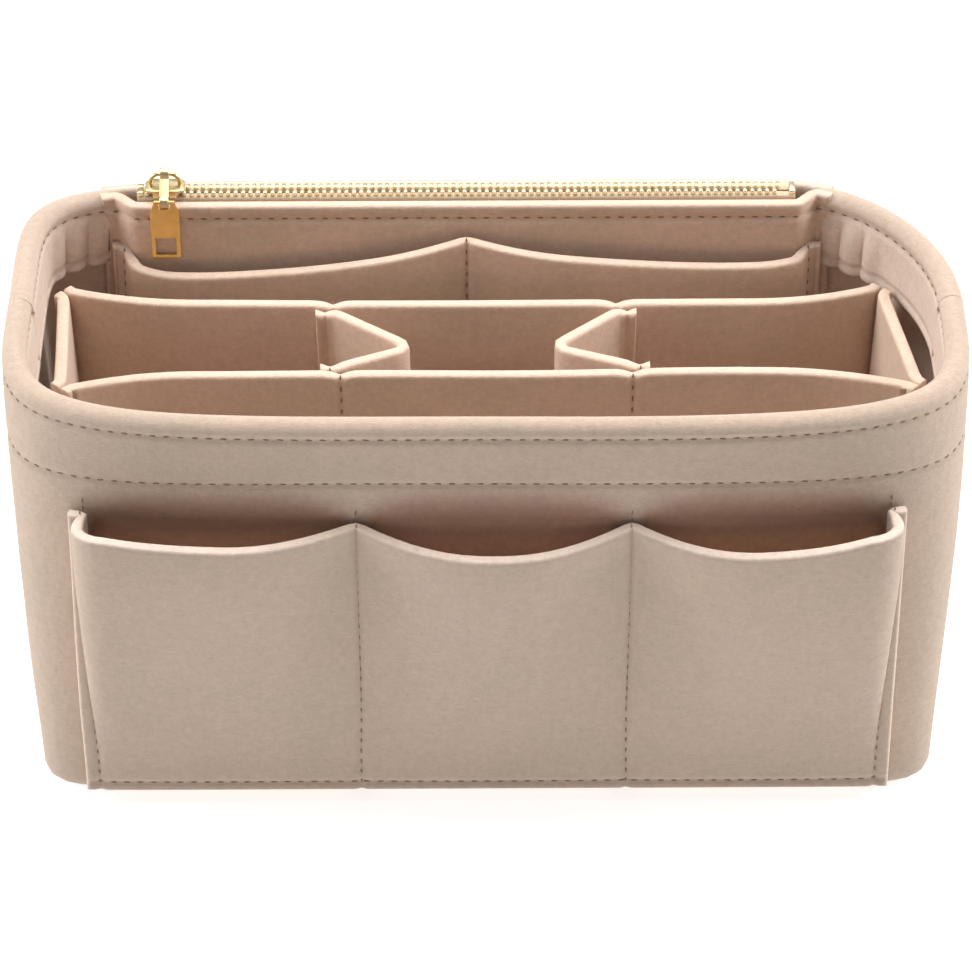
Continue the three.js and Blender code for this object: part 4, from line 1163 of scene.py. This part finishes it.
def zip_slider():
    """Two plates joined by a web, with a flange on each side and a bridge for the link."""
    at = Matrix.Translation
    width = CHAIN_WIDTH + 2 * (ZIP_CLEARANCE + SLIDER_FLANGE)
    corner, under_corner = width / 3, SLIDER_UNDER_WIDTH / 3
    under_z = tape_bottom - ZIP_CLEARANCE - SLIDER_PLATE / 2
    flange_length = SLIDER_LENGTH - 2 * corner
    flange_low = tape_top + ZIP_CLEARANCE
    flange_tall = plate_bottom + SLIDER_PLATE / 2 - flange_low
    flange_y = CHAIN_WIDTH / 2 + ZIP_CLEARANCE + SLIDER_FLANGE / 2
    web_low, web_high = under_z, plate_bottom + SLIDER_PLATE / 2
    web_width = CHAIN_SLOT - 2 * ZIP_CLEARANCE
    post_x = (BRIDGE_LENGTH - BRIDGE_BAR) / 2
    bend = BRIDGE_ROOM * BRIDGE_BEND
    foot = plate_top - SLIDER_PLATE / 2
    right = [(post_x, foot), *arc(post_x - bend, bar_z - bend, bend, 0, 90, BEND_POINTS)]
    bridge = right + [(-x, z) for x, z in right[::-1]]
    parts = [
        (plate_mesh([rounded_rectangle(SLIDER_LENGTH, width, corner)], SLIDER_PLATE, SLIDER_PLATE_ROUND),
         at((0, 0, plate_bottom + SLIDER_PLATE / 2))),
        (plate_mesh([rounded_rectangle(SLIDER_LENGTH, SLIDER_UNDER_WIDTH, under_corner)],
                    SLIDER_PLATE, SLIDER_UNDER_ROUND), at((0, 0, under_z))),
        (bevelled_block((SLIDER_WEB_LENGTH, web_width, web_high - web_low),
                        (0, 0, (web_low + web_high) / 2), SLIDER_WEB_ROUND, 1), Matrix()),
        (tube_mesh(bridge, BRIDGE_BAR / 2), Matrix()),
    ]
    for side in (FRONT, BACK):
        flange = bevelled_block((flange_length, SLIDER_FLANGE, flange_tall),
                                (0, side * flange_y, flange_low + flange_tall / 2), SLIDER_FLANGE_ROUND)
        parts.append((flange, Matrix()))
    place = at((slider_x, zip_y, 0))
    return metal_piece("zip_slider_gold", [(mesh, place @ own) for mesh, own in parts])


def pull_link():
    """A wire bent to two eyes, one round the bridge and one round the tab's bar, drawn in to a waist."""
    reach = math.hypot(zip_y - tab_y, LINK_DROP)
    rear, front = bridge_eye + LINK_WALL, tab_eye + LINK_WALL
    rear_angle = math.degrees(math.asin(LINK_WALL / rear))
    front_angle = math.degrees(math.asin(LINK_WALL / front))
    outlines = [
        arc(0, 0, rear, rear_angle, 360 - rear_angle, EYE_POINTS)
        + arc(reach, 0, front, 180 + front_angle, 540 - front_angle, EYE_POINTS),
        round_hole(0, bridge_eye),
        round_hole(reach, tab_eye),
    ]
    slope = math.atan2(LINK_DROP, zip_y - tab_y)
    forward = Matrix(((0, 0, -1, 0), (-1, 0, 0, 0), (0, 1, 0, 0), (0, 0, 0, 1)))
    place = Matrix.Translation((slider_x, zip_y, bar_z)) @ forward @ Matrix.Rotation(-slope, 4, "Z")
    return metal_piece("pull_link_gold", [(plate_mesh(outlines, LINK_WIDTH, LINK_ROUND), place)])


def pull_tab():
    """A stamped plate with a narrow neck, a slot for the link and a window."""
    half, neck = TAB_WIDTH / 2, TAB_NECK_WIDTH / 2
    slot_half = LINK_WIDTH / 2 + PULL_CLEARANCE
    slot_low = -(tab_eye + LINK_WALL + PULL_CLEARANCE)
    window_low = TAB_RAIL - TAB_LENGTH
    window_high = window_low + TAB_WINDOW_LENGTH
    window_half = half - TAB_RAIL
    foot = TAB_CORNER - TAB_LENGTH

    def hole(half_width, low, high):
        return [(half_width, high), (-half_width, high), (-half_width, low), (half_width, low)]

    outlines = [
        [(neck, TAB_BAR / 2), (-neck, TAB_BAR / 2), (-half, -TAB_NECK_LENGTH)]
        + arc(-half + TAB_CORNER, foot, TAB_CORNER, 180, 270)
        + arc(half - TAB_CORNER, foot, TAB_CORNER, 270, 360) + [(half, -TAB_NECK_LENGTH)],
        hole(slot_half, slot_low, -TAB_BAR / 2),
        hole(window_half, window_low, window_high),
    ]
    place = Matrix.Translation((slider_x, tab_y, tab_z)) @ Matrix.Rotation(math.pi / 2, 4, "X")
    return metal_piece("pull_tab_gold", [(plate_mesh(outlines, TAB_THICKNESS, TAB_ROUND), place)])


# Materials

def srgb(red, green, blue):
    """A colour from its screen values of 0 to 255."""
    shares = [value / 255 for value in (red, green, blue)]
    return (*[s / 12.92 if s <= 0.04045 else ((s + 0.055) / 1.055) ** 2.4 for s in shares], 1)


def mix(tree, factor, first, second, blend="MIX"):
    node = tree.nodes.new("ShaderNodeMix")
    node.data_type = "RGBA"
    node.blend_type = blend
    for index, value in ((0, factor), (6, first), (7, second)):
        feed(tree, node.inputs[index], value)
    return node.outputs[2]


def piece_place(tree):
    """The place of a point in its own piece."""
    return tree.nodes.new("ShaderNodeTexCoord").outputs["Object"]


def felt_mark(tree, name):
    return add_node(tree, "ShaderNodeAttribute", {"attribute_name": name}).outputs["Fac"]


def noise_value(tree, place, scale, detail=2.0, roughness=0.5, distortion=0.0):
    node = add_node(tree, "ShaderNodeTexNoise", Vector=place, Scale=scale, Detail=detail,
                    Roughness=roughness, Distortion=distortion)
    return node.outputs["Fac"]


def remap(tree, value, from_low, from_high, to_low, to_high):
    node = add_node(tree, "ShaderNodeMapRange", Value=value, From_Min=from_low, From_Max=from_high,
                    To_Min=to_low, To_Max=to_high)
    return node.outputs["Result"]


def felt_group():
    """Pressed felt: slow blotches of two tints, mottling and fine fibres, paler on cuts; painted light on
    inward faces, painted shade at pocket mouths and painted bounce light inside pockets.
    """
    tree, given, result = new_group("Felt fibres", "ShaderNodeTree", {
        "Colour": ("NodeSocketColor", None),
        "Tint": ("NodeSocketColor", None),
        "Edge colour": ("NodeSocketColor", None),
        "Mottling": ("NodeSocketFloat", 0.2),
    }, {"Colour": "NodeSocketColor", "Height": "NodeSocketFloat"})
    put = given.outputs
    place = piece_place(tree)
    painted_shading = felt_mark(tree, "painted_shading")
    blotch = remap(tree, noise_value(tree, place, BLOTCHES, 3), 0.38, 0.62, 0, 1)
    mottle = noise_value(tree, place, MOTTLES, 4, 0.65)
    stretch = add_node(tree, "ShaderNodeMapping", Vector=place, Scale=FIBRE_STRETCH).outputs[0]
    fibre = noise_value(tree, stretch, FIBRES, 3, 0.6, 1.4)
    colour = mix(tree, blotch, put["Colour"], put["Tint"])
    # faces that look inward are painted paler with the edge colour, as painted light
    colour = mix(tree, remap(tree, painted_shading, 0, -1, 0, INWARD_PAINTED_LIGHT), colour, put["Edge colour"])
    colour = mix(tree, felt_mark(tree, "cut_edge"), colour, put["Edge colour"])
    speckle = add_math(tree, "ShaderNodeMath", "ADD", mottle, fibre)
    dark = mix(tree, put["Mottling"], WHITE, BLACK)
    shaded = mix(tree, remap(tree, speckle, 0.7, 1.3, 0, 1), dark, WHITE)
    # painted shade at a pocket's mouth and painted bounce light deep inside
    mouth = mix(tree, painted_shading, WHITE, MOUTH_SHADOW)
    shadow = mix(tree, remap(tree, painted_shading, 1, 2, 0, 1), mouth, POCKET_GLOW)
    shaded = mix(tree, 1, shaded, shadow, "MULTIPLY")
    feed(tree, result.inputs["Colour"], mix(tree, 1, colour, shaded, "MULTIPLY"))
    feed(tree, result.inputs["Height"], speckle)
    return tree


def new_material(name, **settings):
    """A material with its Principled shader, whose fixed values are set on its own sockets."""
    material = bpy.data.materials.new(name)
    material.use_nodes = True
    shader = material.node_tree.nodes["Principled BSDF"]
    for socket, value in settings.items():
        shader.inputs[socket.replace("_", " ")].default_value = value
    return material, material.node_tree, shader


def bump(tree, shader, height, strength, depth):
    node = add_node(tree, "ShaderNodeBump", Strength=strength, Distance=depth, Height=height)
    feed(tree, shader.inputs["Normal"], node.outputs[0])


def felt_material(name, group, colour, tint, edge, mottling):
    material, tree, shader = new_material(name, Roughness=0.95, Sheen_Weight=0.25, Sheen_Roughness=0.6,
                                          Specular_IOR_Level=0.15)
    shader.inputs["Sheen Tint"].default_value = srgb(250, 240, 228)
    felt = add_node(tree, "ShaderNodeGroup", {"node_tree": group}, Colour=colour, Tint=tint,
                    Edge_colour=edge, Mottling=mottling)
    feed(tree, shader.inputs["Base Color"], felt.outputs["Colour"])
    bump(tree, shader, felt.outputs["Height"], 0.5, FELT_RELIEF)
    return material


def thread_material():
    material, tree, shader = new_material("brown_thread", Roughness=0.7, Sheen_Weight=0.2)
    twist = noise_value(tree, piece_place(tree), THREAD_TWISTS, 2)
    feed(tree, shader.inputs["Base Color"], mix(tree, twist, srgb(128, 100, 80), srgb(160, 132, 108)))
    bump(tree, shader, twist, 0.4, THREAD_RELIEF)
    return material


def tape_material():
    material, tree, shader = new_material("cream_zip_tape", Roughness=0.85, Sheen_Weight=0.15)
    ribs = add_node(tree, "ShaderNodeTexWave", {"bands_direction": "X"}, Vector=piece_place(tree),
                    Scale=TAPE_RIBS, Distortion=0.6, Detail=1).outputs["Fac"]
    feed(tree, shader.inputs["Base Color"], mix(tree, ribs, srgb(214, 192, 162), srgb(226, 206, 178)))
    bump(tree, shader, ribs, 0.2, TAPE_RELIEF)
    return material


def gold_group():
    """Plated metal: a little unevenness in its colour, gloss and surface."""
    tree, given, result = new_group("Plating", "ShaderNodeTree", {
        "Colour": ("NodeSocketColor", None),
        "Worn colour": ("NodeSocketColor", None),
        "Roughness": ("NodeSocketFloat", 0.25),
    }, {"Colour": "NodeSocketColor", "Roughness": "NodeSocketFloat", "Height": "NodeSocketFloat"})
    put = given.outputs
    place = piece_place(tree)
    patch = noise_value(tree, place, WORN_PATCHES, 3)
    worn = remap(tree, patch, 0.4, 0.7, 0, 1)
    rough = add_math(tree, "ShaderNodeMath", "MULTIPLY_ADD", patch, WORN_ROUGHNESS, put["Roughness"])
    feed(tree, result.inputs["Colour"], mix(tree, worn, put["Colour"], put["Worn colour"]))
    feed(tree, result.inputs["Roughness"], rough)
    feed(tree, result.inputs["Height"], noise_value(tree, place, PLATING_GRAIN, 2))
    return tree


def gold_material(name, group, colour, worn, roughness):
    material, tree, shader = new_material(name, Metallic=1.0)
    plating = add_node(tree, "ShaderNodeGroup", {"node_tree": group}, Colour=colour, Worn_colour=worn,
                       Roughness=roughness)
    feed(tree, shader.inputs["Base Color"], plating.outputs["Colour"])
    feed(tree, shader.inputs["Roughness"], plating.outputs["Roughness"])
    bump(tree, shader, plating.outputs["Height"], 0.1, PLATING_RELIEF)
    return material


def floor_material():
    material, tree, shader = new_material("pale_floor", Roughness=0.9, Specular_IOR_Level=0.1,
                                          Emission_Strength=0.75)
    paper = noise_value(tree, piece_place(tree), FLOOR_CLOUDS, 3)
    feed(tree, shader.inputs["Base Color"], mix(tree, paper, srgb(186, 186, 185), srgb(190, 190, 189)))
    shader.inputs["Emission Color"].default_value = WHITE
    return material


# All pieces put together

def finish_piece(piece, node, body, material):
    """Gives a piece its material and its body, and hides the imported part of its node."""
    piece.data.materials.clear()
    piece.data.materials.append(material)
    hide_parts(node)
    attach(piece, body)


fibres = felt_group()
# The outer pieces are of the same felt as the inner ones. Their colour is painted darker as shade, and their
# pale edge colour paints light on the faces that look inward as well as colouring cut edges.
outer_felt_painted_shade = felt_material("beige_felt_painted_shade", fibres, colour=srgb(204, 181, 163), tint=srgb(199, 178, 160),
                           edge=srgb(250, 229, 212), mottling=0.2)
inner_felt = felt_material("beige_inner_felt", fibres, colour=srgb(230, 199, 180), tint=srgb(222, 195, 173),
                           edge=srgb(232, 206, 186), mottling=0.2)
thread = thread_material()
tape_cloth = tape_material()
plating = gold_group()
teeth_gold = gold_material("pale_gold_teeth", plating, srgb(246, 232, 190), srgb(252, 244, 218), 0.3)
slider_gold = gold_material("slider_gold", plating, srgb(226, 206, 158), srgb(236, 220, 180), 0.28)
pull_gold = gold_material("gold_pull", plating, srgb(236, 198, 120), srgb(242, 212, 146), 0.28)

for node, piece, felt in (
    ("front_wall", front_wall(), outer_felt_painted_shade),
    ("back_wall", back_wall(), outer_felt_painted_shade),
    ("base_panel", base_panel(), outer_felt_painted_shade),
    ("front_pocket_panel", front_pocket_panel(), outer_felt_painted_shade),
    ("zip_pocket_panel", zip_pocket_panel(), inner_felt),
    ("slip_pocket_panel", slip_pocket_panel(), inner_felt),
    ("tray_back_panel", tray_side("tray_back_felt", tray_back_y, BACK), inner_felt),
    ("tray_front_panel", tray_side("tray_front_felt", tray_front_y, FRONT), inner_felt),
    ("tray_left_end", tray_end("tray_left_felt", -1), inner_felt),
    ("tray_right_end", tray_end("tray_right_felt", 1), inner_felt),
    ("left_gusset", gusset("left_gusset_felt", -1), inner_felt),
    ("right_gusset", gusset("right_gusset_felt", 1), inner_felt),
):
    finish_piece(piece, node, "organizer", felt)

sewing = stitches(thread)
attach(sewing, "organizer")

for node, name, side in (("zipper_tape_front", "zip_tape_front_cloth", FRONT),
                         ("zipper_tape_rear", "zip_tape_rear_cloth", BACK)):
    finish_piece(zip_tape(name, side), node, "organizer", tape_cloth)

row_tree = teeth_tree()
near, far = CHAIN_SLOT / 2, CHAIN_WIDTH / 2
for node, piece in (
    ("zipper_teeth_front", teeth_row("zip_teeth_front_gold", FRONT, row_tree, teeth_gold)),
    ("zipper_teeth_rear", teeth_row("zip_teeth_rear_gold", BACK, row_tree, teeth_gold)),
    ("zipper_top_stop_front", stop("top_stop_front_gold", zip_left, -far, -near)),
    ("zipper_top_stop_rear", stop("top_stop_rear_gold", zip_left, near, far)),
    ("zipper_bottom_stop", stop("bottom_stop_gold", zip_right - STOP_LENGTH, -far, far)),
):
    finish_piece(piece, node, "organizer", teeth_gold)

finish_piece(zip_slider(), "zipper_slider", "slider", slider_gold)
finish_piece(pull_link(), "pull_link", "link", slider_gold)
finish_piece(pull_tab(), "pull_tab", "tab", pull_gold)


# Floor, light and camera

def aim(thing, target):
    thing.rotation_euler = (target - thing.location).to_track_quat("-Z", "Y").to_euler()


def floor():
    shape = bmesh.new()
    bmesh.ops.create_grid(shape, x_segments=8, y_segments=8, size=FLOOR_SIZE / 2)
    mesh = worked_mesh("floor", shape)
    made = new_object("floor", mesh)
    mesh.materials.append(floor_material())


def soft_light(name, place, size, power, colour):
    lamp = bpy.data.lights.new(name, "AREA")
    lamp.shape = "DISK"
    lamp.size = size
    lamp.energy = power
    lamp.color = colour
    made = new_object(name, lamp)
    made.location = place
    aim(made, CAMERA_TARGET)


floor()
for name, place, size, power, colour in (
    ("left_light", (-1.5, 0.05, 0.9), 0.9, 20, COOL_WHITE),
    ("right_light", (1.5, 0.15, 0.9), 0.9, 21, COOL_WHITE),
    ("top_light", (0, 0.6, 1.85), 1.6, 42, WARM_WHITE),
):
    soft_light(name, place, size, power, colour)

world = bpy.data.worlds.new("studio")
world.use_nodes = True
room = world.node_tree.nodes["Background"]
room.inputs["Color"].default_value = WHITE
room.inputs["Strength"].default_value = ROOM_LIGHT
bpy.context.scene.world = world
bpy.context.scene.view_settings.view_transform = "Standard"

lens = bpy.data.cameras.new("camera")
lens.sensor_width = SENSOR
lens.lens = SENSOR * FOCAL_PIXELS / FRAME_PIXELS
camera = new_object("camera", lens)
azimuth, elevation = math.radians(CAMERA_AZIMUTH), math.radians(CAMERA_ELEVATION)
direction = Vector((math.sin(azimuth) * math.cos(elevation), -math.cos(azimuth) * math.cos(elevation),
                    math.sin(elevation)))
camera.location = CAMERA_TARGET + CAMERA_DISTANCE * direction
aim(camera, CAMERA_TARGET)
bpy.context.scene.camera = camera
